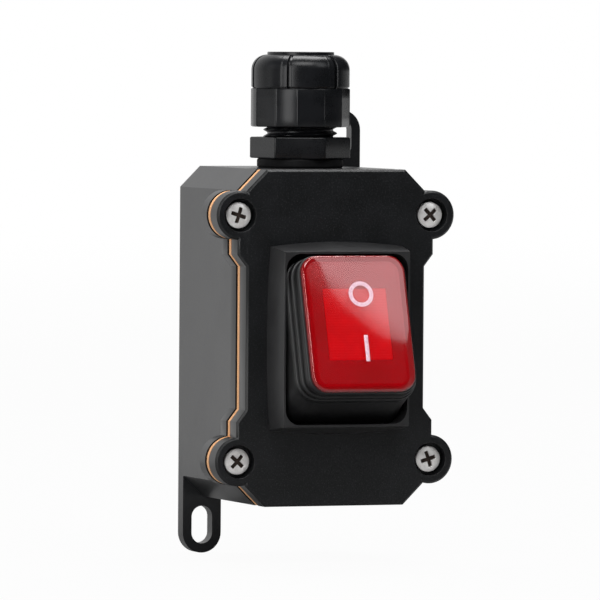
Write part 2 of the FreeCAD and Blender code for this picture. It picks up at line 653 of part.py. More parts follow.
def switch_housing():
    """Moulded housing with the frame, bearing ears for the rocker, panel clips and terminal slots."""
    inner_floor = floor_depth()
    bottom = inner_floor - HOUSING_FLOOR
    well_depth = FACE_DEPTH + WELL_FLOOR
    outer = rounded_block(HOUSING_HALF_X, HOUSING_HALF_Z, HOUSING_CORNER, bottom, well_depth)
    ears = []
    for sx in (-1, 1):
        ear_x = sx * (HOUSING_HALF_X - HOUSING_WALL / 2)
        ears.append(block(HOUSING_WALL / 2, EAR_HALF_LENGTH, well_depth, PIVOT_DEPTH, ear_x))
        ears.append(Part.makeCylinder(EAR_HALF_LENGTH, HOUSING_WALL,
                                      vec(ear_x - HOUSING_WALL / 2, PIVOT_DEPTH, 0),
                                      FreeCAD.Vector(1, 0, 0)))
    body = joined([outer, switch_frame(), panel_clip(-1), panel_clip(1)] + ears)
    inner_x = HOUSING_HALF_X - HOUSING_WALL
    cuts = [block(inner_x, HOUSING_HALF_Z - HOUSING_WALL, inner_floor, PIVOT_DEPTH + EAR_HALF_LENGTH)]
    cuts.append(Part.makeCylinder(PIN_RADIUS + PIN_FIT, 2 * HOUSING_HALF_X,
                                  vec(-HOUSING_HALF_X, PIVOT_DEPTH, 0), FreeCAD.Vector(1, 0, 0)))
    groove = rounded_block(SEAL_RING_INNER_X + SEAL_RING_WIDTH + SEAL_RING_FIT,
                           SEAL_RING_INNER_Z + SEAL_RING_WIDTH + SEAL_RING_FIT, HOUSING_CORNER,
                           FACE_DEPTH, FACE_DEPTH + SEAL_RING_HEIGHT + SEAL_RING_FIT)
    core = rounded_block(SEAL_RING_INNER_X - SEAL_RING_FIT, SEAL_RING_INNER_Z - SEAL_RING_FIT,
                         HOUSING_CORNER, FACE_DEPTH, FACE_DEPTH + SEAL_RING_HEIGHT + SEAL_RING_FIT)
    cuts.append(groove.cut(core))
    slot_x = BLADE_WIDTH / 2 + BLADE_FIT
    slot_z = BLADE_THICKNESS / 2 + BLADE_FIT
    for x in POLES:
        cuts.append(block(slot_x, slot_z, bottom, inner_floor, x, 0))
        cuts.append(block(slot_x, slot_z, bottom, inner_floor, x, CONTACT_Z))
        cuts.append(block(PAD_HALF_X + BLADE_FIT, PAD_HALF_Z + BLADE_FIT,
                          inner_floor - PAD_THICKNESS - BLADE_FIT, inner_floor, x, CONTACT_Z))
    return body.cut(cuts)


def panel_seal():
    """Rubber ring under the frame, on the cover's face."""
    outer = rounded_block(SEAL_RING_INNER_X + SEAL_RING_WIDTH, SEAL_RING_INNER_Z + SEAL_RING_WIDTH,
                          HOUSING_CORNER, FACE_DEPTH, FACE_DEPTH + SEAL_RING_HEIGHT)
    inner = rounded_block(SEAL_RING_INNER_X, SEAL_RING_INNER_Z, HOUSING_CORNER,
                          FACE_DEPTH, FACE_DEPTH + SEAL_RING_HEIGHT)
    return outer.cut(inner)


def rocker_cap():
    """Red lens: a shallow rounded tray, open at the back, with a bevelled front edge."""
    start = PIVOT_DEPTH + CAP_TOP - CAP_SIDE
    end = PIVOT_DEPTH + CAP_TOP
    body = rounded_block(CAP_HALF_X, CAP_HALF_Z, CAP_CORNER, start, end)
    front_edges = [edge for edge in body.Edges
                   if all(abs(v.Point.y + end) < 1e-6 for v in edge.Vertexes)]
    body = body.makeChamfer(CAP_EDGE, front_edges)
    cavity = rounded_block(CAP_HALF_X - CAP_WALL, CAP_HALF_Z - CAP_WALL, CAP_CORNER - CAP_WALL,
                           start, end - CAP_ROOF)
    return at_rest(body.cut(cavity))


def neck_half_sizes():
    """Half width, half length and corner of the carrier's neck inside the cap."""
    inset = CAP_WALL + CARRIER_NECK_GAP
    return CAP_HALF_X - inset, CAP_HALF_Z - inset, CAP_CORNER - inset


def boot_ring_depths():
    """Depths of the boot's top ring, clamped between the cap and the carrier's flange."""
    top = PIVOT_DEPTH + CAP_TOP - CAP_SIDE - SEAT_GAP
    return top - BOOT_WALL, top


def rocker_carrier():
    """Rocker body: neck in the cap, flange under the boot, stem, pivot pins and plunger legs."""
    neck_x, neck_z, neck_corner = neck_half_sizes()
    ring_bottom, ring_top = boot_ring_depths()
    neck_top = PIVOT_DEPTH + CAP_TOP - CAP_ROOF - SEAT_GAP
    flange_top = ring_bottom - SEAT_GAP
    flange_bottom = flange_top - CARRIER_FLANGE
    stem_bottom = PIVOT_DEPTH + STEM_BOTTOM
    leg_bottom = stem_bottom - LEG_LENGTH
    bore_radius = PLUNGER_RADIUS + PLUNGER_FIT
    shapes = [rounded_block(neck_x, neck_z, neck_corner, flange_bottom, neck_top),
              rounded_block(neck_x + CARRIER_FLANGE_GROWTH, neck_z + CARRIER_FLANGE_GROWTH,
                            CAP_CORNER, flange_bottom, flange_top),
              block(STEM_HALF_X, STEM_HALF_Z, stem_bottom, flange_bottom)]
    pin_reach = HOUSING_HALF_X - PIN_END_GAP
    shapes.append(Part.makeCylinder(PIN_RADIUS, 2 * pin_reach, vec(-pin_reach, PIVOT_DEPTH, 0),
                                    FreeCAD.Vector(1, 0, 0)))
    for x in POLES:
        shapes.append(round_bar(bore_radius + LEG_WALL, leg_bottom, PIVOT_DEPTH, x))
    body = joined(shapes)
    pocket = block(DIFFUSER_HALF_X + DIFFUSER_FIT, DIFFUSER_HALF_Z + DIFFUSER_FIT,
                   PIVOT_DEPTH + DIFFUSER_BOTTOM, neck_top)
    cuts = [pocket]
    for x in POLES:
        cuts.append(round_bar(bore_radius, leg_bottom, PIVOT_DEPTH + BORE_TOP, x))
        cuts.append(round_bar(LEAD_RADIUS + LEAD_GAP, PIVOT_DEPTH, neck_top, lead_x(x)))
    return at_rest(body.cut(cuts))


def lamp_diffuser():
    """Block under the lens that spreads the lamp's light, hollow round the lamp."""
    bottom = PIVOT_DEPTH + DIFFUSER_BOTTOM
    top = PIVOT_DEPTH + CAP_TOP - CAP_ROOF - SEAT_GAP
    body = block(DIFFUSER_HALF_X, DIFFUSER_HALF_Z, bottom, top)
    cavity = block(DIFFUSER_CAVITY_HALF_X, DIFFUSER_CAVITY_HALF_Z, bottom, top - DIFFUSER_ROOF)
    return at_rest(body.cut(cavity))


def indicator_lamp():
    """Round-topped lamp that stands on the carrier inside the diffuser."""
    bottom = PIVOT_DEPTH + DIFFUSER_BOTTOM
    top = bottom + LAMP_HEIGHT
    dome = [(radius, top - drop) for radius, drop in dome_points(LAMP_RADIUS, math.pi / 2, LAMP_STEPS)]
    return at_rest(lathe(dome + [(LAMP_RADIUS, bottom), (0, bottom)]))


def lead_x(pole):
    """Where a lamp lead comes down, over the wire of its plunger spring."""
    inward = PLUNGER_RADIUS - 2 * SPRING_WIRE
    return pole - math.copysign(inward, pole)


def lamp_lead(pole):
    """Lead from the lamp's side to the top of one plunger spring."""
    side = math.copysign(1, pole)
    height = PIVOT_DEPTH + DIFFUSER_BOTTOM + LEAD_RISE
    start_x = side * (LAMP_RADIUS + LEAD_GAP)
    end_x = lead_x(pole)
    run = Part.makeCylinder(LEAD_RADIUS, abs(end_x - start_x), vec(start_x, height, 0),
                            FreeCAD.Vector(side, 0, 0))
    elbow = Part.makeSphere(LEAD_RADIUS, vec(end_x, height, 0))
    drop = round_bar(LEAD_RADIUS, PIVOT_DEPTH + BORE_TOP, height, end_x)
    return at_rest(joined([run, elbow, drop]))


def plunger(x):
    """Round plunger with a ball end, in the carrier's bore."""
    tip = PIVOT_DEPTH - PLUNGER_REACH
    tail = PIVOT_DEPTH + PLUNGER_TAIL
    end = [(radius, tip - PLUNGER_RADIUS + rise)
           for radius, rise in dome_points(PLUNGER_RADIUS, math.pi / 2, PLUNGER_STEPS)]
    return at_rest(lathe(end + [(PLUNGER_RADIUS, tail), (0, tail)], x))


def plunger_spring(x):
    """Coil spring between a plunger and the top of its bore, its wire carried round in short facets."""
    start = PIVOT_DEPTH + PLUNGER_TAIL + SPRING_END_GAP + SPRING_WIRE
    end = PIVOT_DEPTH + BORE_TOP - SPRING_END_GAP - SPRING_WIRE
    radius = PLUNGER_RADIUS - SPRING_WIRE
    steps = SPRING_TURNS * SPRING_FACETS
    sections = []
    for index in range(steps + 1):
        angle = 2 * math.pi * index / SPRING_FACETS
        depth = start + (end - start) * index / steps
        corners = []
        for across, along in ((1, 0), (0, 1), (-1, 0), (0, -1)):
            reach = radius + SPRING_WIRE * across
            corners.append(vec(x + reach * math.cos(angle), depth + SPRING_WIRE * along,
                               reach * math.sin(angle)))
        sections.append(Part.makePolygon(corners + corners[:1]))
    return at_rest(Part.makeLoft(sections, True, True))


def bridge_angle():
    """Angle of the contact bridges from square on, at rest."""
    return TILT * BRIDGE_RATIO


def tip_in_bridge(swing):
    """Where the plunger's tip is, seen from a bridge, when the rocker has swung by an angle."""
    rocker = math.radians(swing)
    bridge = math.radians(swing * BRIDGE_RATIO)
    across = PLUNGER_REACH * math.sin(rocker)
    above = PLUNGER_REACH * (1 - math.cos(rocker)) + knife_to_tip()
    along = across * math.cos(bridge) - above * math.sin(bridge)
    rise = across * math.sin(bridge) + above * math.cos(bridge)
    return along, rise


def bridge_trough():
    """Radius and centre height of the dish that the plunger's tip runs in."""
    along, rise = tip_in_bridge(TILT)
    sagitta = rise - knife_to_tip()
    path_radius = (along ** 2 + sagitta ** 2) / (2 * sagitta)
    return path_radius + PLUNGER_RADIUS + TIP_GAP, path_radius + knife_to_tip()


def bridge_at_rest(shape):
    """Copy of a bridge piece, turned about the knife edge to the rest position."""
    copy = shape.copy()
    copy.rotate(vec(0, bridge_pivot_depth(), 0), FreeCAD.Vector(1, 0, 0), bridge_angle())
    return copy


def contact_bridge(x):
    """Rocking bridge: a dished strip with flat arms and a domed contact at each end."""
    pivot = bridge_pivot_depth()
    inner_radius, centre_rise = bridge_trough()
    along, rise = tip_in_bridge(TILT)
    half_angle = math.atan2(along, centre_rise - rise)
    outer_radius = inner_radius + BRIDGE_SHEET
    centre = pivot + centre_rise
    side = x - BRIDGE_WIDTH / 2

    def at(radius, angle):
        return vec(side, centre - radius * math.cos(angle), radius * math.sin(angle))

    def bow(radius, angle):
        return Part.Arc(at(radius, -angle), at(radius, 0), at(radius, angle)).toShape()

    arm_top = centre - inner_radius * math.cos(half_angle)
    arm_foot = arm_top - BRIDGE_SHEET
    under_angle = math.acos((centre - arm_foot) / outer_radius)
    corners_up = [at(inner_radius, half_angle), vec(side, arm_top, BRIDGE_HALF_LENGTH),
                  vec(side, arm_foot, BRIDGE_HALF_LENGTH), at(outer_radius, under_angle)]
    corners_down = [at(outer_radius, -under_angle), vec(side, arm_foot, -BRIDGE_HALF_LENGTH),
                    vec(side, arm_top, -BRIDGE_HALF_LENGTH), at(inner_radius, -half_angle)]
    edges = [bow(inner_radius, half_angle), bow(outer_radius, under_angle)]
    for corners in (corners_up, corners_down):
        for first, last in zip(corners, corners[1:]):
            edges.append(Part.LineSegment(first, last).toShape())
    face = Part.Face(Part.Wire(Part.__sortEdges__(edges)))
    strip = face.extrude(FreeCAD.Vector(BRIDGE_WIDTH, 0, 0))
    dome_radius = contact_dome_radius()
    rivets = []
    for z in (-CONTACT_Z, CONTACT_Z):
        rivet = round_bar(CONTACT_RADIUS, arm_foot - CONTACT_HEIGHT, arm_foot, x, z)
        dome = Part.makeSphere(dome_radius, vec(x, arm_foot - CONTACT_HEIGHT + dome_radius, z))
        rivets.append(rivet.common(dome))
    return bridge_at_rest(joined([strip] + rivets))


def contact_dome_radius():
    """Radius of the moving contact's domed face."""
    return (CONTACT_RADIUS ** 2 + CONTACT_DOME ** 2) / (2 * CONTACT_DOME)


def closed_contact_depth():
    """Depth that the moving contact's dome reaches when its end of the bridge is down."""
    inner_radius, centre_rise = bridge_trough()
    along, rise = tip_in_bridge(TILT)
    half_angle = math.atan2(along, centre_rise - rise)
    arm_rise = centre_rise - inner_radius * math.cos(half_angle)
    dome_radius = contact_dome_radius()
    dome_rise = arm_rise - BRIDGE_SHEET - CONTACT_HEIGHT + dome_radius
    angle = math.radians(bridge_angle())
    return bridge_pivot_depth() + dome_rise * math.cos(angle) - CONTACT_Z * math.sin(angle) - dome_radius


def common_terminal(x):
    """Blade through the floor, ending in the rounded knife edge that a bridge rocks on."""
    bottom = floor_depth() - HOUSING_FLOOR
    edge = bridge_pivot_depth()
    tab = block(BLADE_WIDTH / 2, BLADE_THICKNESS / 2, bottom - BLADE_LENGTH, floor_depth(), x)
    neck = block(BRIDGE_WIDTH / 2, BLADE_THICKNESS / 2, floor_depth(), edge, x)
    knife = Part.makeCylinder(BLADE_THICKNESS / 2, BRIDGE_WIDTH, vec(x - BRIDGE_WIDTH / 2, edge, 0),
                              FreeCAD.Vector(1, 0, 0))
    return joined([tab, neck, knife])


def load_terminal(x):
    """Blade with a pad in the floor and the fixed contact on it."""
    inner_floor = floor_depth()
    bottom = inner_floor - HOUSING_FLOOR
    tab = block(BLADE_WIDTH / 2, BLADE_THICKNESS / 2, bottom - BLADE_LENGTH,
                inner_floor - PAD_THICKNESS, x, CONTACT_Z)
    pad = block(PAD_HALF_X, PAD_HALF_Z, inner_floor - PAD_THICKNESS, inner_floor, x, CONTACT_Z)
    contact = round_bar(CONTACT_RADIUS, inner_floor, closed_contact_depth() - CONTACT_GAP, x, CONTACT_Z)
    return joined([tab, pad, contact])


def boot_step(index):
    """Half width, half length and corner of one step of the boot, from the top down."""
    steps_down = index + 1
    return (CAP_HALF_X + BOOT_STEP_X * steps_down, CAP_HALF_Z + BOOT_STEP_Z * steps_down,
            CAP_CORNER + BOOT_CORNER_GROWTH * steps_down)


def skirt_loop(half_x, half_z, radius, depth):
    """Points round a rounded rectangle whose corners are drawn in short straight steps."""
    points = []
    for index, (sx, sz) in enumerate(((1, 1), (-1, 1), (-1, -1), (1, -1))):
        for step in range(SKIRT_CORNER_STEPS + 1):
            angle = math.pi / 2 * (index + step / SKIRT_CORNER_STEPS)
            points.append((sx * (half_x - radius) + radius * math.cos(angle),
                           sz * (half_z - radius) + radius * math.sin(angle)))
    return [vec(x, depth, z) for x, z in points]


def skirt_solid(lower, upper):
    """Solid between two loops of matching points, each patch of its side split into two flat faces."""
    outlines = [lower, upper]
    for index, corner in enumerate(lower):
        following = (index + 1) % len(lower)
        outlines.append([corner, lower[following], upper[following]])
        outlines.append([corner, upper[following], upper[index]])
    faces = [Part.Face(Part.makePolygon(outline + outline[:1])) for outline in outlines]
    shell = Part.makeShell(faces)
    shell.sewShape()
    return Part.makeSolid(shell)


def boot_solid(inset):
    """The boot's form moved in by an inset, at rest: steps that lean with the cap, and a skirt."""
    ring_top = boot_ring_depths()[1]
    shapes = []
    for index in range(BOOT_STEPS):
        half_x, half_z, corner = boot_step(index)
        top = ring_top - BOOT_STEP_HEIGHT * index - inset
        bottom = ring_top - BOOT_STEP_HEIGHT * (index + 1) - inset
        if index == BOOT_STEPS - 1:
            bottom = bottom + inset
        step = rounded_block(half_x - inset, half_z - inset, corner - inset, bottom, top)
        shapes.append(at_rest(step))
    half_x, half_z, corner = boot_step(BOOT_STEPS - 1)
    upper = skirt_loop(half_x - inset, half_z - inset, corner - inset,
                       ring_top - BOOT_STEP_HEIGHT * BOOT_STEPS)
    tilt = FreeCAD.Rotation(FreeCAD.Vector(1, 0, 0), -TILT)
    pivot = vec(0, PIVOT_DEPTH, 0)
    upper = [pivot + tilt.multVec(point - pivot) for point in upper]
    foot_depth = FACE_DEPTH + WELL_FLOOR + BOOT_FOOT_THICKNESS
    lower = skirt_loop(WELL_HALF_X - BOOT_FOOT_GAP - inset, WELL_HALF_Z - BOOT_FOOT_GAP - inset,
                       WELL_CORNER - inset, foot_depth)
    shapes.append(skirt_solid(lower, upper))
    return joined(shapes)


def rocker_boot():
    """Rubber boot: stepped skirt from the cap's underside to a foot on the well's floor."""
    foot_start = FACE_DEPTH + WELL_FLOOR
    foot_end = foot_start + BOOT_FOOT_THICKNESS
    foot = rounded_block(WELL_HALF_X - BOOT_FOOT_GAP, WELL_HALF_Z - BOOT_FOOT_GAP, WELL_CORNER,
                         foot_start, foot_end)
    opening = rounded_block(WELL_HALF_X - BOOT_FOOT_GAP - BOOT_FOOT_WIDTH_X,
                            WELL_HALF_Z - BOOT_FOOT_GAP - BOOT_FOOT_WIDTH_Z, WELL_CORNER,
                            foot_start, foot_end)
    neck_x, neck_z, neck_corner = neck_half_sizes()
    ring_bottom, ring_top = boot_ring_depths()
    mouth = at_rest(rounded_block(neck_x + SEAT_GAP, neck_z + SEAT_GAP, neck_corner,
                                  ring_bottom - BOOT_WALL, ring_top))
    skirt = boot_solid(0.0).cut([boot_solid(BOOT_WALL), mouth])
    return joined([skirt, foot.cut(opening)])


def for_poles(make):
    """One piece for each pole, kept as separate solids."""
    return Part.makeCompound([make(x) for x in POLES])


def build():
    """Every piece of the switch, by name."""
    screws = Part.makeCompound([cover_screw(x, z) for x, z in LUG_CENTRES])
    return {
        "back_box": back_box(),
        "cover_gasket": cover_gasket(),
        "front_cover": front_cover(),
        "cover_screws": screws,
        "gland_washer": gland_washer(),
        "gland_body": gland_body(),
        "gland_locknut": gland_locknut(),
        "gland_seal_bush": gland_seal_bush(),
        "gland_dome_nut": gland_dome_nut(),
        "switch_housing": switch_housing(),
        "panel_seal": panel_seal(),
        "rocker_boot": rocker_boot(),
        "rocker_cap": rocker_cap(),
        "rocker_carrier": rocker_carrier(),
        "lamp_diffuser": lamp_diffuser(),
        "indicator_lamp": indicator_lamp(),
        "lamp_leads": for_poles(lamp_lead),
        "plungers": for_poles(plunger),
        "plunger_springs": for_poles(plunger_spring),
        "contact_bridges": for_poles(contact_bridge),
        "common_terminals": for_poles(common_terminal),
        "load_terminals": for_poles(load_terminal),
    }


os.makedirs("parts", exist_ok=True)
for name, shape in build().items():
    shape.exportStep("parts/" + name + ".step")
    print(name, len(shape.Solids), shape.isValid(), round(shape.Volume, 1))
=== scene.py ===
"""Looks of the boat rocker switch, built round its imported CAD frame.

Sizes are in millimetres in the code and in metres in the meshes. "Depth" is the
distance from the wall face, towards -Y, as in the part's source.
"""

import logging
import math
from collections.abc import Iterator
from contextlib import contextmanager
from dataclasses import dataclass, field
from enum import Enum
from typing import Any

import bmesh
import bpy
import numpy as np
from mathutils import Matrix, Vector


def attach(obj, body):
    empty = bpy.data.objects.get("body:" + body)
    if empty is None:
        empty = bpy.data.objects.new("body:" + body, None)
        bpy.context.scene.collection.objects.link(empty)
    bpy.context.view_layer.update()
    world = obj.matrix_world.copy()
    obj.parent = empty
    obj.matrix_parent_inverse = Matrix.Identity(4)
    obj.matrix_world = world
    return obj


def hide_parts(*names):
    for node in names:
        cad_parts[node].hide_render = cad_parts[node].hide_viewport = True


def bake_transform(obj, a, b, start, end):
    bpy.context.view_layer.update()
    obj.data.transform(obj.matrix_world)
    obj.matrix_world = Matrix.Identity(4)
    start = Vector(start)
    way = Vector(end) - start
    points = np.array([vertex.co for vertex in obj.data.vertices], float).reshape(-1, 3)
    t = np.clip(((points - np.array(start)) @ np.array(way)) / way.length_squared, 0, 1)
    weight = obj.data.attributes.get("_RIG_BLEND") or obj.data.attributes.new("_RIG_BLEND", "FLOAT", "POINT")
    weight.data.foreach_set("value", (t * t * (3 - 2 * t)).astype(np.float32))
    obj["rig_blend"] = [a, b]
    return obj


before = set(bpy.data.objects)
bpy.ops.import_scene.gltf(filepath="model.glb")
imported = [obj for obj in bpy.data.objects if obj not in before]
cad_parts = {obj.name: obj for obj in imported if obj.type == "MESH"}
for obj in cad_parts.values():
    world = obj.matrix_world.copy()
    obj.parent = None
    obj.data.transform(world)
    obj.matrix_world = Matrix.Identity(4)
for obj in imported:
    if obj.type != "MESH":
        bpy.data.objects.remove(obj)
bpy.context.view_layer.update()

LOG = logging.getLogger("switch")

MM = 0.001
FACE_DEPTH = 41.1
PIVOT_DEPTH = 42.9
TILT = math.radians(-17.5)
LUG_X = 21.5
LUG_Z = 25.75
GLAND_DEPTH = 19.3
GLAND_TURN = math.radians(-21.0)
BODY = "box"
ROCKER = "rocker"

Triple = tuple[float, float, float]
Profile = tuple[tuple[float, float], ...]


class Slot(Enum):
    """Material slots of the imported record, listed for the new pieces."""

    BOX = "box_plastic"
    COVER = "cover_plastic"
    SCREW = "screw_nickel"
    GLAND = "gland_plastic"
    GLAND_RUBBER = "gland_rubber"
    HOUSING = "housing_plastic"
    BOOT = "boot_rubber"
    LENS = "lens_red"


# Points and grids


def spot(x: Any, depth: Any, z: Any) -> np.ndarray:
    """Points in the row frame, in metres.

    Args:
        x: Places across, in millimetres.
        depth: Distances from the wall.
        z: Heights.

    Returns:
        An array whose last axis is (x, -depth, z) in metres.
    """
    return np.stack(np.broadcast_arrays(x, -np.asarray(depth, float), z), axis=-1) * MM


def tilted(x: Any, rise: Any, z: Any) -> np.ndarray:
    """Points given square on to the rocker, turned to its rest position.

    The turn is about the pivot: z' = z cos - rise sin, rise' = rise cos + z sin.

    Args:
        x: Places across, in millimetres.
        rise: Distances in front of the pivot.
        z: Places along the rocker.

    Returns:
        Points in the row frame, in metres.
    """
    x, rise, z = np.broadcast_arrays(np.asarray(x, float), rise, z)
    along = z * math.cos(TILT) - rise * math.sin(TILT)
    front = rise * math.cos(TILT) + z * math.sin(TILT)
    return spot(x, PIVOT_DEPTH + front, along)


def rounded_loops(half_x: Any, half_z: Any, corner: Any, per_corner: int = 9,
                  per_side: int = 12) -> np.ndarray:
    """Rounded rectangles with matching points, one for each row.

    Each corner is a quarter circle about (half - corner), and straight runs of
    equal steps join them.

    Args:
        half_x: Half widths, one a row.
        half_z: Half lengths.
        corner: Corner radii.
        per_corner: Points on each corner.
        per_side: Steps along each straight run.

    Returns:
        Rows by points by (x, z).
    """
    half_x, half_z, corner = (np.asarray(v, float)[:, None]
                              for v in np.broadcast_arrays(np.atleast_1d(half_x), half_z, corner))
    quarter = np.linspace(0.0, np.pi / 2, per_corner)
    arcs = []
    for index, (sx, sz) in enumerate(((1, 1), (-1, 1), (-1, -1), (1, -1))):
        angle = quarter + index * np.pi / 2
        arcs.append(np.stack([sx * (half_x - corner) + corner * np.cos(angle),
                              sz * (half_z - corner) + corner * np.sin(angle)], axis=-1))
    share = np.linspace(0.0, 1.0, per_side + 1)[1:-1][None, :, None]
    runs = []
    for arc, following in zip(arcs, arcs[1:] + arcs[:1]):
        runs += [arc, arc[:, -1:] * (1 - share) + following[:, :1] * share]
    return np.concatenate(runs, axis=1)


def smooth_step(value: np.ndarray) -> np.ndarray:
    """Ease from 0 to 1: 3t^2 - 2t^3 of the value held between 0 and 1."""
    held = np.clip(value, 0.0, 1.0)
    return held * held * (3 - 2 * held)


def leaning(loops: np.ndarray, rise: Any) -> np.ndarray:
    """Loops of (x, z) at a rise, given square on to the rocker and turned with it."""
    return tilted(loops[..., 0], rise, loops[..., 1])


def band(distance: np.ndarray, half_width: float, soft: float) -> np.ndarray:
    """1 inside a band about a line, easing to 0 over a soft distance at its two edges."""
    return smooth_step((half_width - np.abs(distance)) / soft)


def full_turn(count: int) -> np.ndarray:
    """Even angles round a full turn, as one row."""
    return np.linspace(0, 2 * np.pi, count, endpoint=False)[None, :]


def column(*values: float) -> np.ndarray:
    """Numbers one under the other, as a single column."""
    return np.array(values)[:, None]


def profile(pairs: Profile) -> tuple[np.ndarray, np.ndarray]:
    """The first numbers and the second numbers of some pairs, each as a single column."""
    firsts, seconds = np.array(pairs).T
    return firsts[:, None], seconds[:, None]


def stacked(*parts: np.ndarray, columns: int) -> np.ndarray:
    """Rows of numbers one under the other, each spread over a count of columns."""
    return np.concatenate([np.broadcast_to(part, (part.shape[0], columns)) for part in parts])


@contextmanager
def edited(mesh: bpy.types.Mesh) -> Iterator[bmesh.types.BMesh]:
    """A mesh opened for editing, and written back afterwards."""
    form = bmesh.new()
    form.from_mesh(mesh)
    yield form
    form.to_mesh(mesh)
    form.free()


def placed(name: str, data: bpy.types.ID) -> bpy.types.Object:
    """A new object in the scene, at the origin."""
    piece = bpy.data.objects.new(name, data)
    bpy.context.scene.collection.objects.link(piece)
    return piece


class Shell:
    """Grids of points gathered into one closed mesh."""

    def __init__(self) -> None:
        """Starts with no grids."""
        self.points: list[np.ndarray] = []
        self.quads: list[np.ndarray] = []
        self.count = 0

    def grid(self, points: np.ndarray, wrap_rows: bool = False, wrap_columns: bool = True) -> None:
        """Joins each point of a grid to its neighbours with four-sided faces.

        Args:
            points: Rows by columns by 3.
            wrap_rows: Whether the last row joins the first.
            wrap_columns: Whether the last column joins the first.
        """
        rows, columns = points.shape[:2]
        index = np.arange(rows * columns).reshape(rows, columns) + self.count
        if wrap_columns:
            index = np.concatenate([index, index[:, :1]], axis=1)
        if wrap_rows:
            index = np.concatenate([index, index[:1]], axis=0)
        quads = np.stack([index[:-1, :-1], index[:-1, 1:], index[1:, 1:], index[1:, :-1]], axis=-1)
        self.points.append(points.reshape(-1, 3))
        self.quads.append(quads.reshape(-1, 4))
        self.count += rows * columns

    def build(self, name: str, crease: float = 35.0) -> bpy.types.Object:
        """Makes the mesh: merges poles and seams, turns its faces outwards and shades it smooth.

        Args:
            name: The piece's name.
            crease: Angle in degrees above which an edge stays sharp.

        Returns:
            The object, at the origin.
        """
        mesh = bpy.data.meshes.new(name)
        mesh.from_pydata(np.concatenate(self.points), [], np.concatenate(self.quads))
        with edited(mesh) as form:
            bmesh.ops.remove_doubles(form, verts=form.verts, dist=1e-7)
            bmesh.ops.dissolve_degenerate(form, edges=form.edges, dist=1e-8)
            bmesh.ops.recalc_face_normals(form, faces=form.faces)
        mesh.shade_smooth()
        mesh.set_sharp_from_angle(angle=math.radians(crease))
        return placed(name, mesh)


def softened(node: str, name: str, width: float) -> bpy.types.Object:
    """A copy of a CAD node with its moulded edges rounded.

    Args:
        node: The node to copy.
        name: The new piece's name.
        width: Width of the rounding in millimetres.

    Returns:
        The copy, at the origin, not yet riding on a body.
    """
    flat, sharp = math.radians(0.6), math.radians(30)
    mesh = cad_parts[node].data.copy()
    mesh.name = name
    mesh.materials.clear()
    with edited(mesh) as form:
        bmesh.ops.remove_doubles(form, verts=form.verts, dist=2e-6)
        bmesh.ops.dissolve_limit(form, angle_limit=flat, verts=form.verts, edges=form.edges)
    mesh.shade_smooth()
    mesh.set_sharp_from_angle(angle=sharp)
    piece = placed(name, mesh)
    rounding = piece.modifiers.new("rounded_edges", "BEVEL")
    rounding.width = width * MM
    rounding.segments = 2
    rounding.limit_method = "ANGLE"
    rounding.angle_limit = sharp
    rounding.harden_normals = True
    rounding.use_clamp_overlap = True
    return piece


def point_places(piece: bpy.types.Object) -> np.ndarray:
    """A piece's points, in metres, one a row."""
    places = np.empty(len(piece.data.vertices) * 3, np.float32)
    piece.data.vertices.foreach_get("co", places)
    return places.reshape(-1, 3).astype(float)


def mark_points(piece: bpy.types.Object, name: str, values: np.ndarray) -> None:
    """Keeps one value for each point of a piece under a name that a material can read."""
    kept = piece.data.attributes.get(name) or piece.data.attributes.new(name, "FLOAT", "POINT")
    kept.data.foreach_set("value", values.astype(np.float32))


# Shader maths


class Value:
    """A number in a shader tree, on which plain arithmetic adds Math nodes."""

    def __init__(self, shader: "Shader", socket: bpy.types.NodeSocket) -> None:
        """Wraps an output socket of a shader's tree."""
        self.shader = shader
        self.socket = socket

    def _math(self, operation: str, *values: Any) -> "Value":
        """Adds one Math node with these operands."""
        return self.shader.node("ShaderNodeMath", dict(enumerate(values)), operation=operation).out(0)

    def __add__(self, other: Any) -> "Value":
        """Sum."""
        return self._math("ADD", self, other)

    def __radd__(self, other: Any) -> "Value":
        """Sum, with the number first."""
        return self._math("ADD", other, self)

    def __sub__(self, other: Any) -> "Value":
        """Difference."""
        return self._math("SUBTRACT", self, other)

    def __rsub__(self, other: Any) -> "Value":
        """Difference, with the number first."""
        return self._math("SUBTRACT", other, self)

    def __mul__(self, other: Any) -> "Value":
        """Product."""
        return self._math("MULTIPLY", self, other)

    def absolute(self) -> "Value":
        """The value without its sign."""
        return self._math("ABSOLUTE", self)

    def above(self, limit: float) -> "Value":
        """1 where the value is over a limit, else 0."""
        return self._math("GREATER_THAN", self, limit)

    def ramp(self, low: float, high: float, start: float = 0.0, end: float = 1.0) -> "Value":
        """The value mapped from one range to another, smoothly and held at the ends."""
        inputs = {"Value": self, "From Min": low, "From Max": high, "To Min": start, "To Max": end}
        return self.shader.node("ShaderNodeMapRange", inputs, interpolation_type="SMOOTHSTEP").out("Result")


class Added:
    """A node that has been added to a shader tree."""

    def __init__(self, shader: "Shader", node: bpy.types.Node) -> None:
        """Wraps a node."""
        self.shader = shader
        self.node = node

    def out(self, key: int | str) -> Value:
        """One of the node's outputs, by name or place."""
        return Value(self.shader, self.node.outputs[key])


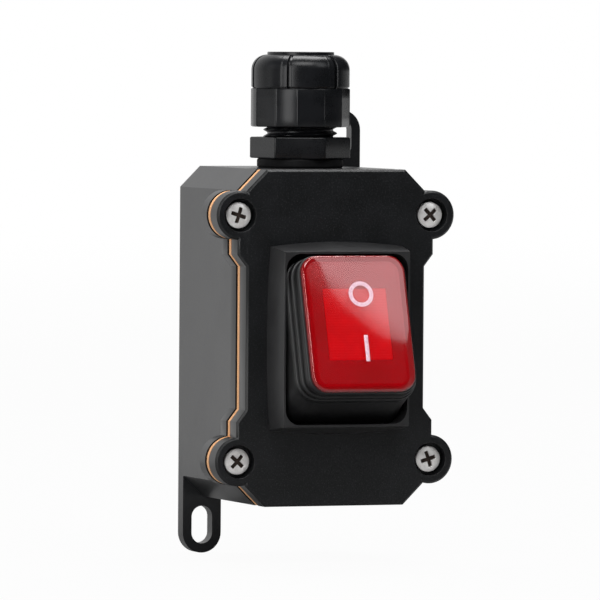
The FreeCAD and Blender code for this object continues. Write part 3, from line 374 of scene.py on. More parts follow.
class Shader:
    """Node tree of one material or of the world."""

    def __init__(self, owner: bpy.types.Material | bpy.types.World) -> None:
        """Empties the owner's node tree and keeps it."""
        owner.use_nodes = True
        self.tree = owner.node_tree
        self.tree.nodes.clear()

    def node(self, kind: str, inputs: dict[int | str, Any] | None = None, **settings: Any) -> Added:
        """Adds any node: its settings first, then its sockets.

        Args:
            kind: The node's type.
            inputs: Values or links for its sockets, by name or place.
            settings: Attributes such as a Math node's operation.

        Returns:
            The node, ready to be linked on.
        """
        made = self.tree.nodes.new(kind)
        for key, value in settings.items():
            setattr(made, key, value)
        for key, value in (inputs or {}).items():
            if isinstance(value, Value):
                self.tree.links.new(value.socket, made.inputs[key])
            else:
                made.inputs[key].default_value = value
        return Added(self, made)

    def place(self) -> Value:
        """The Object coordinates, in metres."""
        return self.node("ShaderNodeTexCoord").out("Object")

    def along(self, axis: str) -> Value:
        """The Object coordinate along X, Y or Z, in metres."""
        return self.node("ShaderNodeSeparateXYZ", {0: self.place()}).out(axis)

    def depth(self) -> Value:
        """Distance from the wall face, in millimetres."""
        return self.along("Y") * (-1 / MM)

    def noise(self, size: float, detail: float = 2.0, rough: float = 0.5,
              stretch: Triple = (1.0, 1.0, 1.0)) -> Value:
        """Soft noise on the Object coordinates.

        Args:
            size: About how large its features are, in millimetres.
            detail: How many finer layers it has.
            rough: How strong the finer layers are.
            stretch: Factors on the coordinates; a small one draws the noise out.

        Returns:
            The noise, as 0 to 1.
        """
        place = self.node("ShaderNodeMapping", {"Vector": self.place(), "Scale": stretch})
        inputs = {"Vector": place.out("Vector"), "Scale": 1.0 / (size * MM), "Detail": detail,
                  "Roughness": rough}
        return self.node("ShaderNodeTexNoise", inputs).out("Fac")

    def kept(self, name: str) -> Value:
        """A value kept for each point under a name."""
        return self.node("ShaderNodeAttribute", attribute_name=name).out("Fac")

    def blend(self, mask: Value, first: Value | Triple, second: Value | Triple) -> Value:
        """Colour that goes from first to second with the mask; each is a Value or a linear colour."""
        first, second = (end if isinstance(end, Value) else rgb(*end) for end in (first, second))
        return self.node("ShaderNodeMix", {"Factor": mask, 6: first, 7: second}, data_type="RGBA").out(2)

    def bump(self, height: Value, depth: float, strength: float = 1.0,
             normal: Value | None = None) -> Value:
        """Normal of a surface raised by a height times a depth in millimetres."""
        inputs = {"Height": height, "Distance": depth * MM, "Strength": strength}
        if normal is not None:
            inputs["Normal"] = normal
        return self.node("ShaderNodeBump", inputs).out("Normal")

    def surface(self, **sockets: Any) -> None:
        """Ends the tree in a Principled shader with these sockets, written with _ for a space."""
        inputs = {name.replace("_", " "): value for name, value in sockets.items()}
        shader = self.node("ShaderNodeBsdfPrincipled", inputs)
        self.node("ShaderNodeOutputMaterial", {"Surface": shader.out("BSDF")})

    def mixture(self, factor: Value, first: Added, second: Added) -> None:
        """Ends the tree in two shaders, mixed by a factor."""
        mixed = self.node("ShaderNodeMixShader", {0: factor, 1: first.out(0), 2: second.out(0)})
        self.node("ShaderNodeOutputMaterial", {"Surface": mixed.out(0)})


def rgb(red: float, green: float, blue: float) -> tuple[float, float, float, float]:
    """An opaque linear colour."""
    return red, green, blue, 1.0


# Finishes


@dataclass(frozen=True)
class Finish:
    """What every finish has: a name and a way to make its material."""

    name: str

    def shade(self, shader: Shader) -> None:
        """Builds the finish's nodes."""
        raise NotImplementedError

    def material(self) -> bpy.types.Material:
        """The finish's material, made the first time it is asked for."""
        found = bpy.data.materials.get(self.name)
        if found is None:
            found = bpy.data.materials.new(self.name)
            self.shade(Shader(found))
        return found

    def dress(self, piece: bpy.types.Object) -> None:
        """Gives a piece this finish in all its slots."""
        if not piece.material_slots:
            piece.data.materials.append(self.material())
        for slot in piece.material_slots:
            slot.link = "OBJECT"
            slot.material = self.material()


@dataclass(frozen=True)
class Moulded(Finish):
    """Moulded plastic or rubber: colour clouds, fine texture and uneven gloss."""

    colour: Triple
    lighter: Triple
    rough: float
    rough_spread: float = 0.08
    grain_size: float = 0.25
    grain_depth: float = 0.005
    wave_size: float = 6.0
    wave_depth: float = 0.02
    gloss: float = 0.5

    def grain(self, shader: Shader) -> Value:
        """Fine noise that raises the surface."""
        return shader.noise(self.grain_size, 2.5, 0.6)

    def tint(self, shader: Shader, grain: Value, colour: Value) -> Value:
        """The clouded colour, as it is where nothing else is said."""
        return colour

    def shade(self, shader: Shader) -> None:
        """Grain and slow waves raise the surface; clouds vary its colour and gloss."""
        clouds = shader.noise(self.wave_size, 3.0)
        grain = self.grain(shader)
        tone = shader.blend(clouds.ramp(0.35, 0.65), self.colour, self.lighter)
        rough = self.rough + (clouds - 0.5) * self.rough_spread + (grain - 0.5) * self.rough_spread
        waved = shader.bump(clouds, self.wave_depth)
        normal = shader.bump(grain, self.grain_depth, 1.0, waved)
        shader.surface(Base_Color=self.tint(shader, grain, tone), Roughness=rough, Normal=normal,
                       Specular_IOR_Level=self.gloss)


@dataclass(frozen=True)
class Grained(Moulded):
    """Moulded plastic whose front face alone is spark-grained, with painted highlights as paler specks on
    its grain.
    """

    grain_from: float = FACE_DEPTH - 0.14
    # painted highlight: how far the grain's peaks are paled
    painted_glint: float = 0.3
    # painted highlight: the colour of the pale specks
    painted_glint_colour: Triple = (0.07, 0.07, 0.075)

    def grain(self, shader: Shader) -> Value:
        """Fine noise on the front face, and a level 0.5 behind it."""
        face = shader.depth().ramp(self.grain_from, self.grain_from + 0.1)
        return (super().grain(shader) - 0.5) * face + 0.5

    def tint(self, shader: Shader, grain: Value, colour: Value) -> Value:
        """Painted highlights: pale specks on the peaks of the grain."""
        return shader.blend(grain.ramp(0.52, 0.72, 0.0, self.painted_glint), colour, self.painted_glint_colour)


@dataclass(frozen=True)
class EdgeShadedRubber(Finish):
    """Soft pale orange rubber, with painted shade browning its front edge next to the cover."""

    colour: Triple = (0.86, 0.47, 0.22)
    deeper: Triple = (0.78, 0.38, 0.15)
    # painted shade: the dark brown of the gasket's front edge
    painted_front_shade: Triple = (0.2, 0.075, 0.03)
    behind: float = 36.4
    front: float = 36.65

    def shade(self, shader: Shader) -> None:
        """Painted shade: the depth from the wall browns the front edge; fine noise marks the skin."""
        marks = shader.noise(0.4, 3.0)
        edge = shader.depth().ramp(self.behind, self.front)
        skin = shader.blend(marks.ramp(0.3, 0.7), self.colour, self.deeper)
        # the front edge takes the painted shade
        shader.surface(Base_Color=shader.blend(edge, skin, self.painted_front_shade),
                       Roughness=0.5 + marks * 0.15, Normal=shader.bump(marks, 0.01))


@dataclass(frozen=True)
class Metal(Finish):
    """Plated, drawn or stamped metal with fine working marks."""

    colour: Triple
    darker: Triple
    mark_size: float
    mark_depth: float = 0.004
    rough: float = 0.3
    stretch: Triple = (1.0, 1.0, 1.0)
    metallic: float = 1.0
    rough_spread: float = 0.12
    cloud_size: float = 1.6
    cloud_from: float = 0.4

    def tone(self, shader: Shader) -> Value:
        """Clouds of dulling vary the colour."""
        clouds = shader.noise(self.cloud_size)
        return shader.blend(clouds.ramp(self.cloud_from, 0.7), self.colour, self.darker)

    def dulled(self, shader: Shader, marks: Value) -> Value:
        """The working marks vary the roughness."""
        return self.rough + (marks - 0.5) * self.rough_spread

    def shade(self, shader: Shader) -> None:
        """Stretched noise gives the working marks."""
        marks = shader.noise(self.mark_size, 3.0, 0.6, self.stretch)
        shader.surface(Base_Color=self.tone(shader), Metallic=self.metallic,
                       Roughness=self.dulled(shader, marks),
                       Normal=shader.bump(marks, self.mark_depth))


@dataclass(frozen=True)
class RecessedNickel(Metal):
    """Bright satin plating with painted shade, a dark brown, in its recess."""

    # painted shade in the cross recess
    recess_shade: Triple = (0.05, 0.035, 0.028)
    recess_rough: float = 0.25

    def tone(self, shader: Shader) -> Value:
        """Painted shade: the kept depth below the head's top darkens the plating to brown."""
        mask = shader.kept("sunk").ramp(0.2, 0.8)
        return shader.blend(mask, super().tone(shader), self.recess_shade)

    def dulled(self, shader: Shader, marks: Value) -> Value:
        """The kept depth dulls the plating too."""
        return super().dulled(shader, marks) + shader.kept("sunk") * self.recess_rough


@dataclass(frozen=True)
class SilveredCopper(Metal):
    """Copper strip with silver at its two contact ends."""

    silver: Triple = (0.82, 0.81, 0.78)
    silver_from: float = 6.3

    def tone(self, shader: Shader) -> Value:
        """Silver where the distance from the middle is over a limit, copper elsewhere."""
        ends = shader.along("Z").absolute().above(self.silver_from * MM)
        return shader.blend(ends, super().tone(shader), self.silver)


@dataclass(frozen=True)
class ClearLens(Finish):
    """Polished red lens that shows the block behind it."""

    colour: Triple = (0.56, 0.0, 0.003)
    lighter: Triple = (0.62, 0.0, 0.005)
    cover: float = 0.46

    def shade(self, shader: Shader) -> None:
        """Faint waves in a polished surface; the cover says how much each skin of it hides."""
        waves = shader.noise(7.0, 1.0)
        tone = shader.blend(waves.ramp(0.3, 0.7), self.colour, self.lighter)
        scratches = shader.noise(0.8, 3.0, 0.6, (0.2, 1.0, 1.0))
        shader.surface(Base_Color=tone, Roughness=0.035 + scratches.ramp(0.6, 0.8) * 0.015,
                       Alpha=self.cover, Coat_Weight=1.0, Coat_Roughness=0.03, Coat_IOR=1.8,
                       Normal=shader.bump(waves, 0.002))


@dataclass(frozen=True)
class Cloudy(Finish):
    """Light-spreading block, ribbed across its face, with painted shade down its sides and a painted glow.
    """

    colour: Triple = (0.95, 0.008, 0.012)
    deeper: Triple = (0.8, 0.006, 0.01)
    # painted shade down the block's sides
    side: Triple = (0.5, 0.002, 0.004)
    # painted glow: the block is no lamp
    glow: float = 0.36
    rib: float = 0.55
    face: float = 11.37

    def shade(self, shader: Shader) -> None:
        """Fine ribs across, a cloudy tone, painted shade on the sides and a faint painted glow, most at the
        face.

        The rise square on to the rocker is (depth - pivot) cos(tilt) - z sin(tilt).
        """
        waves = {"Vector": shader.place(), "Scale": 0.314 / (self.rib * MM), "Distortion": 0.4}
        ribs = shader.node("ShaderNodeTexWave", waves, bands_direction="Z").out("Fac")
        clouds = shader.noise(2.2)
        rise = ((shader.depth() - PIVOT_DEPTH) * math.cos(TILT)
                - shader.along("Z") * (math.sin(TILT) / MM))
        tone = shader.blend(clouds.ramp(0.3, 0.7), self.colour, self.deeper)
        # painted shade on the sides, below the face
        tone = shader.blend(rise.ramp(self.face - 0.5, self.face - 0.1), self.side, tone)
        # the emission is a painted glow
        shader.surface(Base_Color=tone, Roughness=0.35, Emission_Color=tone,
                       Emission_Strength=self.glow, Normal=shader.bump(ribs, 0.05, 0.6))


@dataclass(frozen=True)
class Glass(Finish):
    """Clear lamp glass."""

    colour: Triple = (0.95, 0.8, 0.75)
    deeper: Triple = (0.9, 0.6, 0.55)

    def shade(self, shader: Shader) -> None:
        """Thin clear glass with a faint warm tone at its waves."""
        tone = shader.blend(shader.noise(1.5, 1.0), self.colour, self.deeper)
        shader.surface(Base_Color=tone, Roughness=0.05, Alpha=0.45, Coat_Weight=0.6)


@dataclass(frozen=True)
class Print(Finish):
    """Paint printed on the lens."""

    colour: Triple = (0.95, 0.7, 0.78)
    deeper: Triple = (0.8, 0.5, 0.6)

    def shade(self, shader: Shader) -> None:
        """Slightly uneven ink."""
        ink = shader.noise(0.4)
        tone = shader.blend(ink.ramp(0.3, 0.7), self.colour, self.deeper)
        shader.surface(Base_Color=tone, Roughness=0.4, Normal=shader.bump(ink, 0.004))


BOX_PLASTIC = Moulded("box_plastic_satin", (0.008, 0.0085, 0.0095), (0.012, 0.0125, 0.014), rough=0.34,
                      grain_size=0.3, grain_depth=0.006, wave_size=9.0, wave_depth=0.03)
COVER_PLASTIC = Grained("cover_plastic_grained", (0.005, 0.0055, 0.006), (0.007, 0.0075, 0.0085),
                        rough=0.36, rough_spread=0.1, grain_size=0.3, grain_depth=0.025,
                        wave_size=7.0, wave_depth=0.01, gloss=0.4)
GLAND_PLASTIC = Moulded("gland_plastic_satin", (0.006, 0.0065, 0.0075), (0.009, 0.0095, 0.011),
                        rough=0.28, grain_size=0.2, grain_depth=0.003, wave_size=5.0, gloss=0.26)
HOUSING_PLASTIC = Moulded("housing_plastic_smooth", (0.012, 0.012, 0.013), (0.018, 0.018, 0.019),
                          rough=0.42, grain_size=0.22, wave_depth=0.01, gloss=0.75)
BOOT_RUBBER = Moulded("boot_rubber_soft", (0.006, 0.006, 0.0065), (0.009, 0.009, 0.0095), rough=0.38,
                      grain_size=0.18, wave_size=4.0, wave_depth=0.03, gloss=0.4)
GLAND_RUBBER = Moulded("gland_rubber_matt", (0.005, 0.005, 0.0055), (0.008, 0.008, 0.0085), rough=0.65,
                       rough_spread=0.1, grain_depth=0.01, wave_size=3.0, wave_depth=0.03, gloss=0.1)
# orange rubber with painted shade along its front edge
GASKET_RUBBER = EdgeShadedRubber("gasket_rubber_orange")
SCREW_NICKEL = RecessedNickel("screw_nickel_bright", (0.95, 0.93, 0.91), (0.8, 0.78, 0.76), rough=0.36,
                              mark_size=0.3, mark_depth=0.002, metallic=0.6, cloud_size=1.3)
LEAD_COPPER = Metal("lead_copper_drawn", (0.85, 0.5, 0.36), (0.7, 0.4, 0.28), mark_size=0.2)
PLUNGER_BRASS = Metal("plunger_brass_turned", (0.83, 0.66, 0.36), (0.7, 0.52, 0.25), rough=0.25,
                      mark_size=0.12, mark_depth=0.005, stretch=(0.2, 1.0, 0.2))
SPRING_STEEL = Metal("spring_steel_wire", (0.66, 0.66, 0.67), (0.5, 0.5, 0.52), mark_size=0.2,
                     mark_depth=0.003)
TERMINAL_BRASS = Metal("terminal_brass_tinned", (0.78, 0.75, 0.68), (0.66, 0.62, 0.52), rough=0.34,
                       mark_size=0.3, mark_depth=0.006, stretch=(0.25, 0.25, 1.0))
CONTACT_COPPER = SilveredCopper("contact_copper_stamped", (0.82, 0.46, 0.32), (0.66, 0.34, 0.22),
                                rough=0.32, mark_size=0.3, mark_depth=0.006, rough_spread=0.15,
                                cloud_size=1.2, cloud_from=0.35)
LENS_RED = ClearLens("lens_red_clear")
DIFFUSER_RED = Cloudy("diffuser_red_cloudy")
LAMP_GLASS = Glass("lamp_glass_clear")
MARK_PRINT = Print("mark_print_pale")


def carry(piece: bpy.types.Object, body: str, slot: Slot, finish: Finish, *nodes: str) -> None:
    """Dresses a new piece, sets it on its body and hides the CAD nodes that it stands for.

    Args:
        piece: The finished piece.
        body: The CAD body that it rides on.
        slot: The record's slot for its finish; not used.
        finish: Its material.
        nodes: CAD nodes that it replaces.
    """
    finish.dress(piece)
    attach(piece, body)
    if nodes:
        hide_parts(*nodes)
    LOG.info("%s rides on %s", piece.name, body)


def dress_node(node: str, finish: Finish) -> None:
    """Gives a CAD node its finish."""
    finish.dress(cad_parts[node])
    LOG.info("%s dressed in %s", node, finish.name)


# Box, cover and screws


@dataclass
class Screw:
    """Pan-head screw with a cross recess and a threaded shank.

    The rim's pairs are a radius and a rise above the seat, and the tip's are a
    radius and a rise above the shank's end.
    """

    x: float
    z: float
    seat: float = 38.8
    head_radius: float = 2.75
    head_edge: float = 1.05
    head_height: float = 1.5
    rim: Profile = ((2.74, 0.98), (2.75, 0.85), (2.75, 0.1), (2.7, 0.0), (1.7, 0.0))
    tip: Profile = ((0.9, 0.2), (0.4, 0.05), (0.0, 0.0))
    shank_radius: float = 1.37
    shank_length: float = 6.0
    thread_wave: float = 0.11
    thread_pitch: float = 0.5
    recess_reach: float = 1.8
    recess_half_width: float = 0.46
    recess_depth: float = 0.95
    recess_rise: float = 0.35
    fine_radius: float = 1.9
    columns: int = 120

    @property
    def turn(self) -> float:
        """Angle of the recess, as in the CAD."""
        return -math.radians(math.copysign(30.0, self.x) + math.copysign(12.0, self.z))

    def dome(self, radius: np.ndarray) -> np.ndarray:
        """Height of the head's top: edge + (height - edge)(1 - (r/R)^2.2)."""
        return self.head_edge + (self.head_height - self.head_edge) * (
            1 - (radius / self.head_radius) ** 2.2)

    def sunk(self, places: np.ndarray) -> np.ndarray:
        """How far points in the row frame lie below the top of the nearest head, as 0 to 1.

        Args:
            places: Points by (x, y, z), in millimetres.

        Returns:
            1 deep in a recess and 0 on the head's top and its side.
        """
        radius = np.hypot(np.abs(places[:, 0]) - LUG_X, np.abs(places[:, 2]) - LUG_Z)
        below = self.dome(np.minimum(radius, self.head_radius)) - (-places[:, 1] - self.seat)
        return smooth_step(below / 0.5) * (radius < self.recess_reach + 0.05)

    def arm(self, run: np.ndarray, side: np.ndarray) -> np.ndarray:
        """1 inside one arm's half width and reach, easing to 0 at its walls."""
        return band(side, self.recess_half_width, 0.16) * band(run, self.recess_reach, 0.3)

    def recess(self, across: np.ndarray, along: np.ndarray) -> np.ndarray:
        """Depth of the recess at a point of the head: the deeper of two crossed arms.

        Its floor rises outwards from the middle.

        Args:
            across: Distances from the middle along one arm.
            along: Distances from it along the other.
        """
        cross = np.maximum(self.arm(across, along), self.arm(along, across))
        reach = np.hypot(across, along) / self.recess_reach
        return self.recess_depth * cross * (1 - self.recess_rise * np.clip(reach, 0, 1))

    def add_to(self, shell: Shell) -> None:
        """Adds the screw's grid, from the middle of its head down to the end of its shank.

        The head's top less the recess comes first, with finer rows over the
        recess. The shank's radius follows a helix of small waves.
        """
        angle = full_turn(self.columns)
        radius = np.concatenate([np.linspace(0, self.fine_radius, 46),
                                 np.linspace(self.fine_radius + 0.06, self.head_radius - 0.05, 10)])[:, None]
        local = angle + self.turn
        top = self.dome(radius) - self.recess(radius * np.cos(local), radius * np.sin(local))
        rim_r, rim_h = profile(self.rim)
        tip_r, tip_h = profile(self.tip)
        down = np.linspace(0.0, self.shank_length - 0.5, 56)[:, None]
        wave = np.cos(2 * np.pi * down / self.thread_pitch - angle)
        shank_r = self.shank_radius + self.thread_wave * wave
        radii = stacked(radius, rim_r, shank_r, tip_r, columns=self.columns)
        rises = stacked(top, rim_h, -down, tip_h - self.shank_length, columns=self.columns)
        shell.grid(spot(self.x + radii * np.cos(angle), self.seat + rises, self.z + radii * np.sin(angle)))


@dataclass
class Enclosure:
    """Back box, gasket, cover and the four screws that hold them."""

    edge: float = 0.22
    cover_edge: float = 0.28

    def build(self) -> None:
        """Rounds the mouldings' edges and makes the screws."""
        carry(softened("back_box", "back_box_moulded", self.edge), BODY, Slot.BOX, BOX_PLASTIC, "back_box")
        carry(softened("front_cover", "front_cover_moulded", self.cover_edge), BODY, Slot.COVER,
              COVER_PLASTIC, "front_cover")
        dress_node("cover_gasket", GASKET_RUBBER)
        shell = Shell()
        for sx in (-1, 1):
            for sz in (-1, 1):
                Screw(sx * LUG_X, sz * LUG_Z).add_to(shell)
        screws = shell.build("cover_screws_cross_recess", 28.0)
        # the depth below each head's top, which places the painted shade in the recesses
        mark_points(screws, "sunk", Screw(LUG_X, LUG_Z).sunk(point_places(screws) / MM))
        carry(screws, BODY, Slot.SCREW, SCREW_NICKEL, "cover_screws")


# Cable gland


@dataclass
class CableGland:
    """Gland with a threaded body, slotted fingers, dome nut, washer, bush and locknut.

    Profiles are pairs of a radius and a height. The hexagon's pairs are the largest
    radius and how far its sides are cut back. The grip's pairs are that cut and a
    height above the nut's bottom, and the dome foot's heights are above its ledge.
    """

    columns: int = 540
    washer_bottom: float = 35.3
    washer_top: float = 37.3
    washer_radius: float = 9.15
    washer_bore: float = 7.75
    washer_softness: float = 0.35
    across_flats: float = 18.5
    hex_top: float = 41.8
    hex_cuts: Profile = ((7.2, 0.0), (10.45, 0.16), (10.6, 0.03), (10.7, 0.0), (10.7, 0.0), (10.6, 0.03),
                         (10.45, 0.16), (7.0, 0.0))
    thread_pitch: float = 1.4
    lower_thread: tuple[float, float] = (6.95, 7.6)
    upper_thread: tuple[float, float] = (7.0, 7.85)
    body_bottom: float = 28.3
    thread_top: float = 50.3
    foot: float = 7.0
    neck: float = 7.1
    bore: float = 5.4
    finger: Profile = ((5.4, 50.1), (7.1, 50.1), (7.1, 50.3), (6.7, 52.45), (6.3, 54.6), (5.4, 54.6))
    nut_bottom: float = 43.95
    nut_ledge: float = 52.15
    nut_shoulder: float = 59.25
    nut_turn: float = math.radians(-111.0 + 13.5)
    nut_round: float = 10.42
    nut_flat: float = 9.985
    grip: Profile = ((0.45, 0.0), (0.3, 0.0), (0.08, 0.15), (0.0, 0.35), (0.0, 2.0), (0.0, 4.0),
                     (0.0, 6.0), (0.0, 7.9), (0.08, 8.08), (0.34, 8.2))
    bead_radius: float = 10.4
    bead_height: float = 0.08
    dome_foot: Profile = ((10.1, 0.0), (10.12, 0.16), (10.34, 0.22), (10.42, 0.36), (10.42, 2.0),
                          (10.42, 3.5))
    dome_in: float = 3.32
    dome_rise: float = 3.2
    groove_radius: float = 10.3
    groove_turn: float = math.radians(33.0)
    groove_depth: float = 1.1
    groove_drop: float = 0.25
    ridge_turn: float = math.radians(10.0)
    ridge_height: float = 0.07
    lip: Profile = ((7.1, 59.25), (7.1, 59.72), (7.0, 59.82), (6.85, 59.85), (5.0, 59.85), (4.9, 59.75),
                    (4.9, 57.75))
    nut_bore: Profile = ((6.5, 57.75), (6.5, 56.95), (7.9, 52.4), (7.9, 44.1), (8.05, 43.95))

    @staticmethod
    def turned(shell: Shell, angle: np.ndarray, *runs: tuple[np.ndarray, np.ndarray]) -> None:
        """Adds a closed wall of revolution: x = r cos, depth = axis - r sin, z = height.

        Args:
            shell: Where the grid goes.
            angle: Angles of the columns.
            runs: Radii and heights, each rows by columns or rows by 1, in order.
        """
        radii, heights = (stacked(*parts, columns=angle.shape[1]) for parts in zip(*runs))
        shell.grid(spot(radii * np.cos(angle), GLAND_DEPTH - radii * np.sin(angle), heights),
                   wrap_rows=True)

    @staticmethod
    def hexagon(across: float, angle: np.ndarray) -> np.ndarray:
        """Distance to a hexagon's side: half its width over the cosine from the side's middle."""
        step = np.pi / 3
        return across / 2 / np.cos(np.mod(angle, step) - step / 2)

    @staticmethod
    def from_nearest(angle: np.ndarray) -> np.ndarray:
        """Angle from the nearest of six directions that stand a sixth of a turn apart."""
        return np.mod(angle + np.pi / 6, np.pi / 3) - np.pi / 6

    def thread(self, heights: np.ndarray, angle: np.ndarray, root: float, crest: float) -> np.ndarray:
        """Radius of a thread: a rounded triangle wave of height over pitch less the turn."""
        turns = np.mod(heights / self.thread_pitch - angle / (2 * np.pi), 1.0)
        return root + (crest - root) * smooth_step(1 - np.abs(turns * 2 - 1) * 1.15)

    def body(self) -> None:
        """Lower thread, chamfered hexagon, upper thread, and eight fingers."""
        angle = full_turn(self.columns)
        low = np.linspace(self.body_bottom + 0.3, self.washer_top - 0.1, 70)[:, None]
        high = np.linspace(self.hex_top + 0.05, self.thread_top - 0.3, 84)[:, None]
        largest, cut = profile(self.hex_cuts)
        hex_r = np.minimum(largest, self.hexagon(self.across_flats, angle - GLAND_TURN)) - cut
        chamfer = column(0.0, 0.0, 0.12, 0.25)
        hex_z = np.concatenate([self.washer_top + chamfer, self.hex_top - chamfer[::-1]])
        shell = Shell()
        self.turned(shell, angle, (column(self.foot), column(self.body_bottom)),
                    (self.thread(low, angle, *self.lower_thread), low), (hex_r, hex_z),
                    (self.thread(high, angle, *self.upper_thread), high),
                    profile(((self.neck, self.thread_top), (self.bore, self.thread_top),
                             (self.bore, self.thread_top - 0.1), (self.bore, self.body_bottom))))
        self.fingers(shell)
        carry(shell.build("gland_body_threaded"), BODY, Slot.GLAND, GLAND_PLASTIC, "gland_body")

    def fingers(self, shell: Shell, count: int = 8, gap: float = 1.1) -> None:
        """Adds the clamping fingers: bent blocks between radial slots of one width."""
        across = np.linspace(-1, 1, 13)[None, :]
        radius, height = profile(self.finger)
        half = np.pi / count - np.arcsin(gap / 2 / radius)
        for index in range(count):
            angle = across * half + 2 * np.pi * (index + 0.5) / count
            points = spot(radius * np.cos(angle), GLAND_DEPTH - radius * np.sin(angle), height)
            middle = np.broadcast_to(points[:, [0, -1]].mean(axis=0), (len(radius), 2, 3))
            shell.grid(np.concatenate([middle[:, :1], points, middle[:, 1:]], axis=1), wrap_rows=True,
                       wrap_columns=False)

    def nut(self) -> None:
        """Dome nut: a gripped lower half with six flats, a grooved dome, a lip, and its bore.

        The lower half is the smaller of a circle and a hexagon, with a thin bead
        on each edge between them. The dome is a quarter circle over a straight
        wall, less six narrow grooves. A thin ridge stands beside each groove.
        """
        angle = full_turn(self.columns)
        local = angle - self.nut_turn
        side = self.from_nearest(local)
        corner = math.acos(self.nut_flat / self.nut_round)
        bead = band((np.abs(side) - corner) * self.bead_radius, 0.22, 0.18)
        flats = np.minimum(self.nut_round, self.nut_flat / np.cos(side)) + self.bead_height * bead
        trim, grip_z = profile(self.grip)
        foot_r, foot_z = profile(self.dome_foot)
        quarter = np.linspace(0, np.pi / 2, 14)[:, None]
        dome_r = np.concatenate([foot_r, self.neck + self.dome_in * np.cos(quarter)])
        dome_z = np.concatenate([foot_z + self.nut_ledge,
                                 self.nut_shoulder - self.dome_rise + self.dome_rise * np.sin(quarter)])
        off = self.from_nearest(local - self.groove_turn)
        groove = band(off * self.groove_radius, 0.48, 0.1)
        ridge = band(self.from_nearest(off + self.ridge_turn) * self.groove_radius, 0.22, 0.18)
        fade = np.clip((dome_r - 7.3) / 1.5, 0, 1)
        dome = dome_r - (self.groove_depth * groove - self.ridge_height * ridge) * fade
        drop = self.groove_drop * groove * np.clip((9.9 - dome_r) / 1.2, 0, 1) * fade
        shell = Shell()
        self.turned(shell, angle, (flats - trim, grip_z + self.nut_bottom), (dome, dome_z - drop),
                    profile(self.lip), profile(self.nut_bore))
        carry(shell.build("gland_dome_nut_grooved", 24.0), "gland_nut", Slot.GLAND, GLAND_PLASTIC,
              "gland_dome_nut")

    def washer(self) -> None:
        """Sealing washer with soft edges, slightly squeezed out."""
        span = self.washer_top - self.washer_bottom
        up = np.linspace(0, 1, 12)[:, None]
        down = np.linspace(0, 1, 4)[:, None]
        outer = self.washer_radius - self.washer_softness * np.abs(up * 2 - 1) ** 6
        shell = Shell()
        self.turned(shell, full_turn(self.columns), (outer, self.washer_bottom + span * up),
                    (np.full_like(down, self.washer_bore), self.washer_top - span * down))
        carry(shell.build("gland_washer_rubber"), BODY, Slot.GLAND_RUBBER, GLAND_RUBBER, "gland_washer")

    def build(self) -> None:
        """Makes the gland's pieces and dresses those kept from the CAD."""
        self.body()
        self.nut()
        self.washer()
        dress_node("gland_locknut", GLAND_PLASTIC)
        dress_node("gland_seal_bush", GLAND_RUBBER)


# Switch


